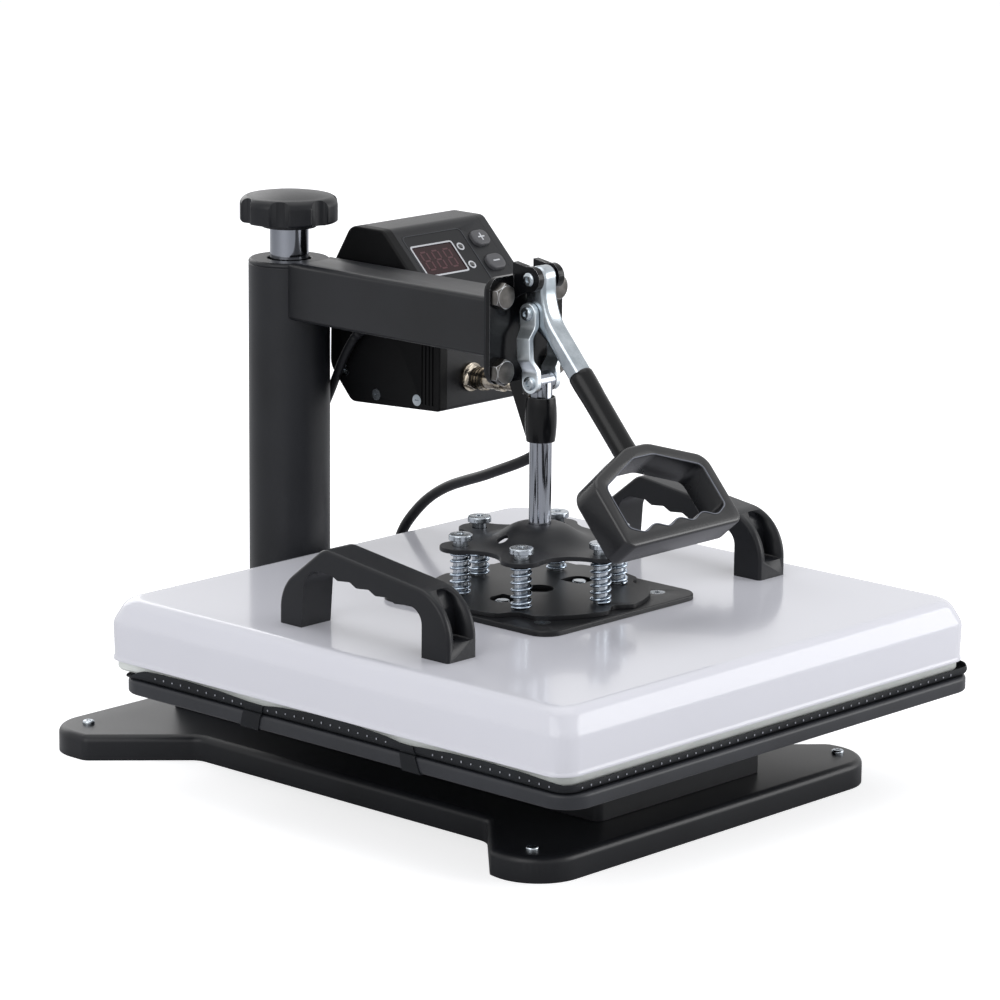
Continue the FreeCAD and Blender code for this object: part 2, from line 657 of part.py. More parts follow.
def toggle_plate():
    """Bolted plate of the toggle: two ears for the top pin, a rib, and the plunger's guide barrel."""
    plate = plate_outline(PLATE_HALF_X, 0, PLATE_FACE_Y, PLATE_T)
    for at in plate_bolt_places(PLATE_FACE_Y):
        plate = plate.cut(rod(M10_R + RUN_GAP, 3 * PLATE_T, at - Y_AXIS * PLATE_T, Y_AXIS))
    ear_in = CHEEK_HALF + 2 * SEAT_GAP
    back = PLATE_FACE_Y + 1
    ears = []
    for side in (-1, 1):
        place = in_yz(side * ear_in)
        web = prism(((back, TOP_PIN_Z - 15), (back, TOP_PIN_Z + 10), (3, TOP_PIN_Z + EAR_R - 0.4),
                     (-2, TOP_PIN_Z - EAR_R + 0.6), (3, TOP_PIN_Z - EAR_R)), (0,) * 5, place,
                    X_AXIS * (side * EAR_T))
        eye = rod(EAR_R, EAR_T, V(side * ear_in, 0, TOP_PIN_Z), X_AXIS * side)
        ears += [web, eye]
    plate_back = PLATE_FACE_Y + PLATE_T
    rib_outline = ((PLATE_FACE_Y + 1, PLATE_Z + 8), (PLATE_FACE_Y, BARREL_TOP_Z), (ROD_R + 1.5, BARREL_TOP_Z),
                   (ROD_R + 1.5, BARREL_Z + 2), (11.5, BARREL_Z + 2), (plate_back + 9, PLATE_Z - 5),
                   (plate_back + 6, PLATE_Z + 1), (plate_back, PLATE_Z + 1))
    rib = prism(rib_outline, (0,) * len(rib_outline), in_yz(-RIB_HALF_T), X_AXIS * (2 * RIB_HALF_T))
    side = [V(BARREL_END_R, 0, BARREL_Z), V(BARREL_WAIST_R, 0, (BARREL_Z + BARREL_TOP_Z) / 2),
            V(BARREL_END_R, 0, BARREL_TOP_Z)]
    walls = [Part.LineSegment(V(0, 0, BARREL_Z), side[0]), Part.Arc(*side),
             Part.LineSegment(side[2], V(0, 0, BARREL_TOP_Z)),
             Part.LineSegment(V(0, 0, BARREL_TOP_Z), V(0, 0, BARREL_Z))]
    barrel = Part.Face(Part.Wire([w.toShape() for w in walls])).revolve(V(0, 0, 0), UP, 360)
    whole = plate.fuse(ears + [rib, barrel])
    bore = rod(BARREL_END_R - BARREL_WALL / 2, BARREL_TOP_Z, V(0, 0, BARREL_Z - 1))
    pin_hole = rod(PIN_R + RUN_GAP, 60, V(-30, 0, TOP_PIN_Z), X_AXIS)
    return whole.cut([bore, pin_hole]).removeSplitter()


def guide_bush():
    return ring(BARREL_END_R - BARREL_WALL / 2 - 0.02, ROD_R + RUN_GAP, BARREL_TOP_Z - BARREL_Z - 3,
                V(0, 0, BARREL_Z + 1.5))


def plate_bolts():
    length = PLATE_T + END_PLATE_T
    return [bolt(M10_HEAD_ACROSS, M10_HEAD_H, M10_R, length, at, -Y_AXIS)
            for at in plate_bolt_places(PLATE_FACE_Y)]


def rivet(half_length, at):
    """Pin with a ringed, dimpled head at each end; half_length runs to the seat of the heads."""
    pin = rod(PIN_R, 2 * half_length, at - X_AXIS * half_length, X_AXIS)
    for side in (-1, 1):
        seat = at + X_AXIS * (side * half_length)
        head = rivet_head(seat, X_AXIS * side)
        pin = pin.fuse(head)
    return pin


def rivet_head(seat, along):
    head = rod(PIN_HEAD_R, PIN_HEAD_T, seat, along)
    rim = [e for e in head.Edges if (e.CenterOfMass - seat - along * PIN_HEAD_T).Length < 0.01]
    head = head.makeChamfer(0.6, rim)
    return head.cut(rod(PIN_HEAD_R * 0.45, 1.0, seat + along * (PIN_HEAD_T - 1.0), along))


def top_pin():
    return rivet(CHEEK_HALF + 2 * SEAT_GAP + EAR_T + SEAT_GAP, V(0, 0, TOP_PIN_Z))


# Toggle geometry. The middle pin rests just behind the line of the other two, so the press stays shut.

MID_Y = OVER_CENTRE
MID_Z = TOP_PIN_Z - math.sqrt(CRANK ** 2 - OVER_CENTRE ** 2)
LOW_PIN_Z = MID_Z - math.sqrt(LINK_LENGTH ** 2 - OVER_CENTRE ** 2)
LINK_IN = CHEEK_HALF + 2 * SEAT_GAP


def lever_direction():
    drop = math.radians(LEVER_DROP)
    return V(0, -math.cos(drop), -math.sin(drop))


BEND_Y = 1.0
BEND_Z = MID_Z + 3.0


def lever_arm():
    """Folded channel lever: pivot head, crank and the bar that slants forward to the grip."""
    along = lever_direction()
    across = V(0, -along.z, along.y)
    bend = V(0, BEND_Y, BEND_Z)
    tip = bend + along * LEVER_BAR_LENGTH
    half = LEVER_BAR_DEPTH / 2
    head = rod(LEVER_ROOT_R, 2 * CHEEK_HALF, V(-CHEEK_HALF, 0, TOP_PIN_Z), X_AXIS)
    elbow = rod(LEVER_ROOT_R, 2 * CHEEK_HALF, V(-CHEEK_HALF, MID_Y - 1.2, MID_Z), X_AXIS)
    crank = prism(((-LEVER_ROOT_R, TOP_PIN_Z), (LEVER_ROOT_R, TOP_PIN_Z), (MID_Y - 1.2 + LEVER_ROOT_R, MID_Z),
                   (MID_Y - 1.2 - LEVER_ROOT_R, MID_Z)), (0,) * 4, in_yz(-CHEEK_HALF),
                  X_AXIS * (2 * CHEEK_HALF))
    low, high = -across * half, across * half
    corners = [bend + low, bend + high, tip + high, tip + low, bend + low]
    bar = Part.Face(Part.makePolygon([p - X_AXIS * CHEEK_HALF for p in corners]))
    bar = bar.extrude(X_AXIS * (2 * CHEEK_HALF))
    body = head.fuse([elbow, crank, bar])
    rear = V(0, LEVER_ROOT_R + 2, 0)
    slot_half = CHEEK_HALF - LEVER_WALL
    slot = block(-slot_half, slot_half, -LEVER_ROOT_R + LEVER_WALL, rear.y, MID_Z - LEVER_ROOT_R - 1,
                 TOP_PIN_Z + LEVER_ROOT_R - LEVER_WALL)
    body = body.cut(slot)
    groove = [bend + low - along * 10, bend + low + across * (LEVER_BAR_DEPTH - LEVER_WALL) - along * 2,
              tip + low + across * (LEVER_BAR_DEPTH - LEVER_WALL) - along * 12, tip + low - along * 12,
              tip + low - across * 20 - along * 12, bend + low - across * 20 - along * 10]
    groove = Part.Face(Part.makePolygon([p - X_AXIS * slot_half for p in groove + groove[:1]]))
    body = body.cut(groove.extrude(X_AXIS * (2 * slot_half)))
    for z, y in ((TOP_PIN_Z, 0), (MID_Z, MID_Y)):
        body = body.cut(rod(PIN_R + RUN_GAP, 4 * CHEEK_HALF, V(-2 * CHEEK_HALF, y, z), X_AXIS))
    return body.removeSplitter()


def grip_foot():
    return V(0, BEND_Y, BEND_Z) + lever_direction() * (LEVER_BAR_LENGTH - 10)


def lever_sleeve():
    """Moulded sleeve on the end of the bar."""
    foot = grip_foot()
    along = lever_direction()
    sleeve = rod(GRIP_R, GRIP_LENGTH, foot, along)
    end = [e for e in sleeve.Edges if (e.CenterOfMass - foot).Length < 0.01]
    sleeve = sleeve.makeFillet(1.5, end)
    across = V(0, -along.z, along.y)
    half = LEVER_BAR_DEPTH / 2 + RUN_GAP
    socket = [foot - across * half, foot + across * half, foot + across * half + along * 10.3,
              foot - across * half + along * 10.3]
    socket = Part.Face(Part.makePolygon([p - X_AXIS * (CHEEK_HALF + RUN_GAP) for p in socket + socket[:1]]))
    return sleeve.cut(socket.extrude(X_AXIS * (2 * CHEEK_HALF + 2 * RUN_GAP)))


def d_handle():
    """Closed hand loop with a roof-shaped top and a scalloped finger bar."""
    along = lever_direction()
    normal = X_AXIS.cross(along).normalize()
    apex = grip_foot() + along * GRIP_LENGTH
    place_at = lambda depth: (lambda p: apex + X_AXIS * p.x + along * p.y + normal * depth)
    w, roof, foot = HANDLE_HALF_W, HANDLE_ROOF, HANDLE_ROOF + HANDLE_SIDE
    outer = ((-10, 0), (10, 0), (w, roof), (w, foot), (-w, foot), (-w, roof))
    radii = (4, 4, HANDLE_CORNER_R, HANDLE_CORNER_R, HANDLE_CORNER_R, HANDLE_CORNER_R)
    body = prism(outer, radii, place_at(-HANDLE_DEPTH / 2), normal * HANDLE_DEPTH)
    wall = HANDLE_WALL
    scallops = [(w - wall, foot - wall - 4)]
    for i in range(5):
        x = w - wall - 9 - i * (w - wall - 9) / 2.0
        scallops.append((x, foot - wall - (0 if i % 2 == 0 else 5)))
    scallops.append((-w + wall, foot - wall - 4))
    inner = [(-w + wall, roof + wall * 0.7), (-10, wall), (10, wall), (w - wall, roof + wall * 0.7)] + scallops
    inner_r = [4, 3, 3, 4, 3] + [4] * 5 + [3]
    opening = prism(inner, inner_r, place_at(-HANDLE_DEPTH), normal * (2 * HANDLE_DEPTH))
    rims = []
    for e in body.Edges:
        depth = (e.CenterOfMass - apex).dot(normal)
        if abs(abs(depth) - HANDLE_DEPTH / 2) < 0.01:
            rims.append(e)
    body = body.makeFillet(HANDLE_EDGE_R, rims)
    return body.cut(opening)


def mid_pin():
    return rivet(LINK_IN + LINK_T + SEAT_GAP, V(0, MID_Y, MID_Z))


# Links

def link_axis():
    return V(0, -MID_Y, LOW_PIN_Z - MID_Z).normalize()


def link_profile_points(along, offset):
    """One face of a joggled link, as distance along the link and distance out from its inner face."""
    a, b = 9.0, 16.0
    return ((-LINK_EYE_R, offset), (a, offset), (b, offset + LINK_JOGGLE),
            (along - b, offset + LINK_JOGGLE), (along - a, offset), (along + LINK_EYE_R, offset))


def toggle_link(side):
    """Link bent outward over its middle, with round eyes and its lower rivet."""
    along = link_axis()
    across = V(0, -along.z, along.y)
    top = V(side * LINK_IN, MID_Y, MID_Z)
    bent = list(link_profile_points(LINK_LENGTH, 0)) + list(link_profile_points(LINK_LENGTH, LINK_T))[::-1]
    radii = [0, 3, 3 + LINK_T, 3 + LINK_T, 3, 0]
    radii += [0, 3 + LINK_T, 3, 3, 3 + LINK_T, 0]
    place = lambda p: top + along * p.x + X_AXIS * (side * p.y) - across * LINK_EYE_R
    strip = prism(bent, radii, place, across * (2 * LINK_EYE_R))
    half = LINK_EYE_R
    waist = LINK_WAIST_HALF
    plan = ((-half, -half), (6, -half), (15, -waist), (LINK_LENGTH - 15, -waist), (LINK_LENGTH - 6, -half),
            (LINK_LENGTH + half, -half), (LINK_LENGTH + half, half), (LINK_LENGTH - 6, half),
            (LINK_LENGTH - 15, waist), (15, waist), (6, half), (-half, half))
    plan_r = (half - 0.01, 2, 6, 6, 2, half - 0.01) * 2
    flat = lambda p: V(0, MID_Y, MID_Z) + along * p.x + across * p.y
    shape = prism(plan, plan_r, flat, X_AXIS * (side * 40))
    link = strip.common(shape)
    hole = rod(PIN_R + RUN_GAP, 40, V(0, MID_Y, MID_Z), X_AXIS * side)
    low = V(0, 0, LOW_PIN_Z)
    low_hole = rod(PIN_R, 40, low, X_AXIS * side)
    return link.cut([hole, low_hole])


def toggle_links():
    return [toggle_link(-1), toggle_link(1)]


def lower_rivets():
    """Short rivets in the links' lower eyes; they end just short of the plunger's lug."""
    rivets = []
    for side in (-1, 1):
        start = V(side * LINK_IN, 0, LOW_PIN_Z)
        stub = rod(PIN_R, LINK_T, start, X_AXIS * side)
        rivets.append(stub.fuse(rivet_head(start + X_AXIS * (side * LINK_T), X_AXIS * side)))
    return rivets


# Plunger

def plunger_rod():
    """Ground rod with a flat-sided lug for the links at its top."""
    neck_z = LOW_PIN_Z - LUG_FLATS
    shaft = rod(ROD_R, neck_z - ROD_Z, V(0, 0, ROD_Z))
    lug = block(-CHEEK_HALF, CHEEK_HALF, -ROD_R, ROD_R, neck_z, LOW_PIN_Z)
    lug = lug.common(rod(ROD_R, LUG_FLATS, V(0, 0, neck_z)))
    eye = rod(LUG_EYE_R, 2 * CHEEK_HALF, V(-CHEEK_HALF, 0, LOW_PIN_Z), X_AXIS)
    return shaft.fuse([lug, eye]).removeSplitter()


def lobed_outline(z, high_r, lobe_r, lobe_at, low_r, start):
    """Closed outline with six round lobes about lobe_at and shallow waists between them."""
    step = 360.0 / BOLT_COUNT
    edges = []
    for i in range(BOLT_COUNT):
        turn = start + step * i
        centre = polar(lobe_at, turn, z)
        ends = [centre + polar(lobe_r, turn + side * 72) for side in (-1, 1)]
        edges.append(Part.Arc(ends[0], polar(high_r, turn, z), ends[1]).toShape())
        following = polar(lobe_at, turn + step, z) + polar(lobe_r, turn + step - 72)
        edges.append(Part.Arc(ends[1], polar(low_r, turn + step / 2, z), following).toShape())
    return Part.Face(Part.Wire(edges))


def spring_plate():
    """Lobed sheet plate, domed up to the rod, that rides on the shoulder bolts."""
    z = SPRING_PLATE_TOP_Z - SPRING_PLATE_T
    outline = lobed_outline(z - 5, BOLT_CIRCLE_R + LOBE_R, LOBE_R, BOLT_CIRCLE_R, WAIST_R, BOLT_START)
    outer = BOLT_CIRCLE_R + LOBE_R + 5
    flat_r, t = 44.0, SPRING_PLATE_T
    at = lambda r, height: V(r, 0, height)
    walls = [
        Part.LineSegment(at(0, DOME_TOP_Z - t), at(ROD_R + 2, DOME_TOP_Z - t)),
        Part.BezierCurve(), Part.LineSegment(at(flat_r, z), at(outer, z)),
        Part.LineSegment(at(outer, z), at(outer, z + t)), Part.LineSegment(at(outer, z + t), at(flat_r, z + t)),
        Part.BezierCurve(), Part.LineSegment(at(ROD_R + 2, DOME_TOP_Z), at(0, DOME_TOP_Z)),
        Part.LineSegment(at(0, DOME_TOP_Z), at(0, DOME_TOP_Z - t)),
    ]
    walls[1].setPoles([at(ROD_R + 2, DOME_TOP_Z - t), at(DOME_R, DOME_TOP_Z - t), at(DOME_R, z), at(flat_r, z)])
    walls[5].setPoles([at(flat_r, z + t), at(DOME_R, z + t), at(DOME_R, DOME_TOP_Z),
                       at(ROD_R + 2, DOME_TOP_Z)])
    sheet = Part.Face(Part.Wire([w.toShape() for w in walls])).revolve(V(0, 0, 0), UP, 360)
    plate = sheet.common(outline.extrude(UP * 40))
    holes = [rod(SHOULDER_R + FREE_GAP, 40, polar(BOLT_CIRCLE_R, a, z - 10)) for a in bolt_angles()]
    slant = V(-0.25, 0.05, 1).normalize()
    sight = rod(4.2, 40, V(-24.3, 8, z - 5) - slant * 5, slant)
    return plate.cut(holes + [sight, rod(ROD_R, 40, V(0, 0, ROD_Z - 1))])


def bolt_angles():
    return [BOLT_START + 360.0 * i / BOLT_COUNT for i in range(BOLT_COUNT)]


MOUNT_TOP_Z = COVER_TOP_Z + MOUNT_T
DISC_TOP_Z = MOUNT_TOP_Z + DISC_T


def spring_disc():
    """Notched disc under the springs, with its centre hole and two D-shaped slots."""
    step = 360.0 / BOLT_COUNT
    edges = []
    for i in range(BOLT_COUNT):
        turn = step * i
        ends = [polar(DISC_R, turn + side * 19, MOUNT_TOP_Z) for side in (-1, 1)]
        edges.append(Part.Arc(ends[0], polar(DISC_R, turn, MOUNT_TOP_Z), ends[1]).toShape())
        foot = [polar(DISC_NOTCH_R, turn + step / 2 + side * 3.5, MOUNT_TOP_Z) for side in (-1, 1)]
        following = polar(DISC_R, turn + step - 19, MOUNT_TOP_Z)
        bridge = Part.BezierCurve()
        bridge.setPoles([ends[1], polar(DISC_R, turn + 24, MOUNT_TOP_Z), foot[0],
                         polar(DISC_NOTCH_R, turn + step / 2, MOUNT_TOP_Z), foot[1],
                         polar(DISC_R, turn + step - 24, MOUNT_TOP_Z), following])
        edges.append(bridge.toShape())
    disc = Part.Face(Part.Wire(edges)).extrude(UP * DISC_T)
    cuts = [rod(DISC_HOLE_R, DISC_T + 2, V(0, 0, MOUNT_TOP_Z - 1))]
    x, y = SLOT_SCREW_AT
    for side in (-1, 1):
        outline = ((side * (x - 10), y - 9), (side * (x + 8), y - 9), (side * (x + 8), y + 9),
                   (side * (x - 10), y + 9))
        slot = prism(outline, (2, 8, 8, 2), in_xy(MOUNT_TOP_Z - 1), UP * (DISC_T + 2))
        cuts.append(slot)
    for a in bolt_angles():
        cuts.append(rod(SHOULDER_R - 1, DISC_T + 2, polar(BOLT_CIRCLE_R, a, MOUNT_TOP_Z - 1)))
    return disc.cut(cuts)


def shoulder_bolt(angle):
    """Shoulder bolt with a flat round head; its threaded end is smaller than its shoulder."""
    foot = polar(BOLT_CIRCLE_R, angle, DISC_TOP_Z)
    seat = SHOULDER_TOP_Z - SHOULDER_HEAD_H
    head = rod(SHOULDER_HEAD_R, SHOULDER_HEAD_H, V(foot.x, foot.y, seat))
    head = head.makeFillet(1.1, edges_at(head, SHOULDER_TOP_Z))
    head = head.cut(hex_head(5.0, 3.0, V(foot.x, foot.y, SHOULDER_TOP_Z - 2.2), UP))
    shank = rod(SHOULDER_R, seat - DISC_TOP_Z, foot)
    thread = rod(SHOULDER_R - 1, DISC_T, foot - UP * DISC_T)
    return head.fuse([shank, thread]).removeSplitter()


def coil_spring(angle):
    """Open-wound spring between the disc and the spring plate."""
    centre = polar(BOLT_CIRCLE_R, angle, DISC_TOP_Z + SPRING_WIRE_R)
    height = SPRING_PLATE_TOP_Z - SPRING_PLATE_T - DISC_TOP_Z - 2 * SPRING_WIRE_R
    path = Part.makeHelix(SPRING_PITCH, height, SPRING_MEAN_R)
    path.translate(centre)
    start = centre + V(SPRING_MEAN_R, 0, 0)
    corners = [start + V(SPRING_WIRE_R * math.cos(math.radians(90 * i + 45)), 0,
                         SPRING_WIRE_R * math.sin(math.radians(90 * i + 45))) for i in range(4)]
    section = Part.makePolygon(corners + corners[:1])
    return Part.Wire(path.Edges).makePipeShell([section], True, True)


# Platen and cover

def heat_platen():
    """Cast plate with the four bosses that carry the cover's mounting plate."""
    plate = slab(-PLATEN_HALF_X, PLATEN_HALF_X, -PLATEN_HALF_Y, PLATEN_HALF_Y, PLATEN_Z,
                 PLATEN_Z + PLATEN_T, PLATEN_CORNER_R)
    plate = plate.makeChamfer(1.5, edges_at(plate, PLATEN_Z))
    boss_z = PLATEN_Z + PLATEN_T - 1
    boss_top = COVER_TOP_Z - COVER_WALL
    for at in mount_screw_places(boss_z):
        boss = Part.makeCone(PLATEN_BOSS_R + 2, PLATEN_BOSS_R, boss_top - boss_z, at)
        plate = plate.fuse(boss.cut(rod(MOUNT_SCREW_R + RUN_GAP, 30, V(at.x, at.y, boss_top - 22))))
    return plate


def mount_screw_places(z):
    return [V(x, y, z) for x in (-MOUNT_SCREW_X, MOUNT_SCREW_X) for y in (-MOUNT_SCREW_Y, MOUNT_SCREW_Y)]


def insulation_mat():
    m = MAT_MARGIN
    low = PLATEN_Z + PLATEN_T + 0.1
    mat = slab(-PLATEN_HALF_X + m, PLATEN_HALF_X - m, -PLATEN_HALF_Y + m, PLATEN_HALF_Y - m - 4,
               low, low + MAT_T, 6)
    holes = [rod(PLATEN_BOSS_R + 3, MAT_T + 2, at) for at in mount_screw_places(low - 1)]
    return mat.cut(holes)


def cover_block(inset):
    """Solid of the cover's outer form, or of its hollow when inset by the wall."""
    x, y = COVER_HALF_X - inset, COVER_HALF_Y - inset
    top = COVER_TOP_Z - inset
    foot = COVER_RIM_Z - (1 if inset else 0)
    fold = COVER_TOP_Z - COVER_BEVEL_H
    r = COVER_CORNER_R - inset
    wall = slab(-x, x, -y, y, foot, fold, r)
    crown_low = rounded(((-x, -y), (x, -y), (x, y), (-x, y)), (r,) * 4, in_xy(fold))
    bx, by = x - COVER_BEVEL_IN, y - COVER_BEVEL_IN
    crown_high = rounded(((-bx, -by), (bx, -by), (bx, by), (-bx, by)), (r - 3,) * 4, in_xy(top))
    crown = Part.makeLoft([crown_low, crown_high], True, True)
    return wall.fuse(crown).removeSplitter()


def cover():
    """White sheet cover: upright walls, a long bevel and a flat top."""
    outer = cover_block(0)
    outer = outer.makeFillet(COVER_FOLD_R, edges_at(outer, COVER_TOP_Z))
    shell = outer.cut(cover_block(COVER_WALL))
    cuts = [rod(MOUNT_SCREW_R + RUN_GAP, 10, at) for at in mount_screw_places(COVER_TOP_Z - 5)]
    end = V(*HEATER_ROUTE[-1])
    cuts.append(rod(HEATER_CABLE_R + 0.6, 12, V(end.x, COVER_HALF_Y - 8, GLAND_Z), Y_AXIS))
    return shell.cut(cuts)


def mounting_plate():
    plate = slab(-MOUNT_HALF, MOUNT_HALF, -MOUNT_HALF, MOUNT_HALF, COVER_TOP_Z, MOUNT_TOP_Z, MOUNT_CORNER_R)
    plate = plate.makeChamfer(0.6, edges_at(plate, MOUNT_TOP_Z))
    sink = MOUNT_SCREW_HEAD_R - MOUNT_SCREW_R
    cuts = []
    for at in mount_screw_places(COVER_TOP_Z - 1):
        cuts.append(rod(MOUNT_SCREW_R + RUN_GAP, MOUNT_T + 2, at))
        cuts.append(Part.makeCone(MOUNT_SCREW_R, MOUNT_SCREW_HEAD_R + RUN_GAP, sink,
                                  V(at.x, at.y, MOUNT_TOP_Z - sink)))
    for a in bolt_angles():
        cuts.append(rod(SHOULDER_R - 1 + RUN_GAP, MOUNT_T + 2, polar(BOLT_CIRCLE_R, a, COVER_TOP_Z - 1)))
    x, y = SLOT_SCREW_AT
    cuts += [rod(2.05, MOUNT_T + 2, V(side * x, y, COVER_TOP_Z - 1)) for side in (-1, 1)]
    return plate.cut(cuts)


def mounting_screws():
    """Four countersunk screws into the platen's bosses and two pan-heads in the disc's slots."""
    sink = MOUNT_SCREW_HEAD_R - MOUNT_SCREW_R
    screws = []
    for at in mount_screw_places(MOUNT_TOP_Z):
        head = Part.makeCone(MOUNT_SCREW_R, MOUNT_SCREW_HEAD_R, sink, at - UP * sink)
        shank = rod(MOUNT_SCREW_R, 20, at - UP * 20)
        drive = hex_head(3.6, 2.4, at - UP * 1.7, UP)
        screws.append(head.fuse(shank).cut(drive))
    x, y = SLOT_SCREW_AT
    for side in (-1, 1):
        seat = V(side * x, y, MOUNT_TOP_Z)
        head = rod(5.0, 2.4, seat)
        head = head.makeFillet(1.3, edges_at(head, MOUNT_TOP_Z + 2.4))
        screws.append(head.fuse(rod(2.0, MOUNT_T, seat - UP * MOUNT_T)))
    return screws


def side_handle(side):
    """Moulded bow handle: high rear crest, falling bar with finger scallops, open-backed legs."""
    y0, y1, foot = SIDE_FRONT_Y, SIDE_REAR_Y, COVER_TOP_Z
    outer = [(y0, foot), (y0, SIDE_FRONT_Z), (SIDE_CREST_Y, SIDE_CREST_Z), (y1, SIDE_REAR_Z), (y1, foot)]
    outer_r = [0, SIDE_SHOULDER_R, 12, 30, 0]
    rear_in, front_in = y1 - SIDE_REAR_LEG, y0 + SIDE_FRONT_LEG
    under_rear, under_front = SIDE_CREST_Z - SIDE_BAR_T, SIDE_FRONT_Z - SIDE_FRONT_BAR_T
    inner = [(rear_in, foot), (rear_in - 3, under_rear)]
    inner_r = [0, 14]
    bumps = 4
    first, last = rear_in - 27, front_in + 13
    pitch = (first - last) / bumps
    fall = (under_rear - under_front) / (first - last)
    for i in range(bumps):
        start = first - i * pitch
        inner += [(start, under_rear - i * pitch * fall),
                  (start - pitch * 0.35, under_rear - (i + 0.35) * pitch * fall - SIDE_SCALLOP)]
        inner_r += [3, 4]
    inner += [(last, under_front), (front_in, under_front), (front_in, foot)]
    inner_r += [3, 11, 0]
    x = side * SIDE_X
    body = prism(outer + inner, outer_r + inner_r, in_yz(x - SIDE_HALF_W), X_AXIS * (2 * SIDE_HALF_W))
    long_edges = [e for e in body.Edges
                  if abs(abs(e.CenterOfMass.x - x) - SIDE_HALF_W) < 0.01
                  and (e.CenterOfMass.z > under_rear + 4 or e.CenterOfMass.y < y0 + 10
                       or e.CenterOfMass.y > y1 - 10)
                  and e.BoundBox.ZMax > foot + 5]
    body = body.makeFillet(2.5, long_edges)
    half = SIDE_HALF_W - SIDE_WALL
    for at, way, top in ((y0, 1, SIDE_FRONT_Z), (y1, -1, SIDE_REAR_Z + 10)):
        low = foot + SIDE_POCKET_FOOT
        pocket = [(at - way * 2, low), (at + way * SIDE_POCKET_DEPTH, low),
                  (at + way * (SIDE_POCKET_DEPTH + 1), top - 10), (at + way * (SIDE_POCKET_DEPTH + 8), top + 6),
                  (at - way * 2, top + 6)]
        pocket = prism(pocket, (0, 2, 4, 0, 0), in_yz(x - half), X_AXIS * (2 * half))
        mouth = ((x - half, low), (x + half, low), (x + half, top + 2), (x - half, top + 2))
        reach = SIDE_POCKET_DEPTH + 12
        mouth = prism(mouth, (1, 1, half - 0.1, half - 0.1), in_xz(min(at - way * 3, at + way * reach)),
                      Y_AXIS * (reach + 3))
        body = body.cut(pocket.common(mouth))
        body = body.cut(rod(2.5, 20, V(x, at + way * SIDE_REAR_LEG / 2, foot - 1)))
    return body


def cable_gland():
    """Right-angled gland in the cover's rear wall; the heater cable enters it from above."""
    end = V(*HEATER_ROUTE[-1])
    seat = V(end.x, COVER_HALF_Y, GLAND_Z)
    corner = V(end.x, end.y, GLAND_Z)
    mouth_z = end.z + 4
    body = rod(7.6, 3, seat, Y_AXIS).fuse([
        rod(GLAND_R, end.y - COVER_HALF_Y, seat, Y_AXIS), Part.makeSphere(GLAND_R, corner),
        rod(GLAND_R, mouth_z - GLAND_Z, corner), rod(HEATER_CABLE_R + 0.5, 3, seat - Y_AXIS * 3, Y_AXIS)])
    return body.cut(rod(HEATER_CABLE_R + 0.2, 6, end - UP * 0.1))


# Control box on the right of the arm

def box_profile(inset, x, length):
    face = Part.Face(rounded(BOX_OUTLINE, BOX_CORNERS, in_yz(x)))
    if inset:
        face = face.makeOffset2D(-inset)
    return face.extrude(X_AXIS * length)


def slope_axes():
    """Origin, up-slope direction and outward normal of the sloping front panel."""
    origin = V(0, BOX_FRONT_Y, BOX_SLOPE_Z)
    up_slope = V(0, BOX_FOLD_Y - BOX_FRONT_Y, BOX_TOP_Z - BOX_SLOPE_Z).normalize()
    return origin, up_slope, up_slope.cross(X_AXIS) * -1


def on_slope(x, s, height=0.0):
    origin, up_slope, normal = slope_axes()
    return origin + X_AXIS * x + up_slope * s + normal * height


def slope_block(x0, x1, s0, s1, low, high, r):
    """Flat block with rounded corners that lies in the sloping panel."""
    place = lambda p: on_slope(p.x, p.y, low)
    normal = slope_axes()[2]
    return prism(((x0, s0), (x1, s0), (x1, s1), (x0, s1)), (r,) * 4, place, normal * (high - low))


def key_block(index, low, high, grow):
    s = KEY_SS[index]
    return slope_block(KEY_X - KEY_HALF_W - grow, KEY_X + KEY_HALF_W + grow, s - KEY_HALF_H - grow,
                       s + KEY_HALF_H + grow, low, high, KEY_HALF_H - 1.2 + grow)


def box_shell():
    """Folded housing between the two end caps, open at the display, keys and sockets."""
    x0, x1 = BOX_X + BOX_CAP_T, BOX_FAR_X - BOX_CAP_T
    shell = box_profile(0, x0, x1 - x0).cut(box_profile(BOX_WALL, x0 - 1, x1 - x0 + 2))
    recess = slope_block(PANEL_X, PANEL_FAR_X, PANEL_S, PANEL_FAR_S, -PANEL_T, 2, 3)
    window = slope_block(WINDOW_X, WINDOW_FAR_X, WINDOW_S, WINDOW_FAR_S, -5, 2, 1)
    cuts = [recess, window]
    cuts += [key_block(i, -5, 3, FREE_GAP) for i in range(len(KEY_SS))]
    cuts += [rod(LED_R + 0.1, 10, on_slope(LED_X, s, -6), slope_axes()[2]) for s in LED_SS]
    cuts.append(rod(SOCKET_R - 2.5, 8, V(SOCKET_X, BOX_FRONT_Y - 2, SOCKET_Z), Y_AXIS))
    return shell.cut(cuts)


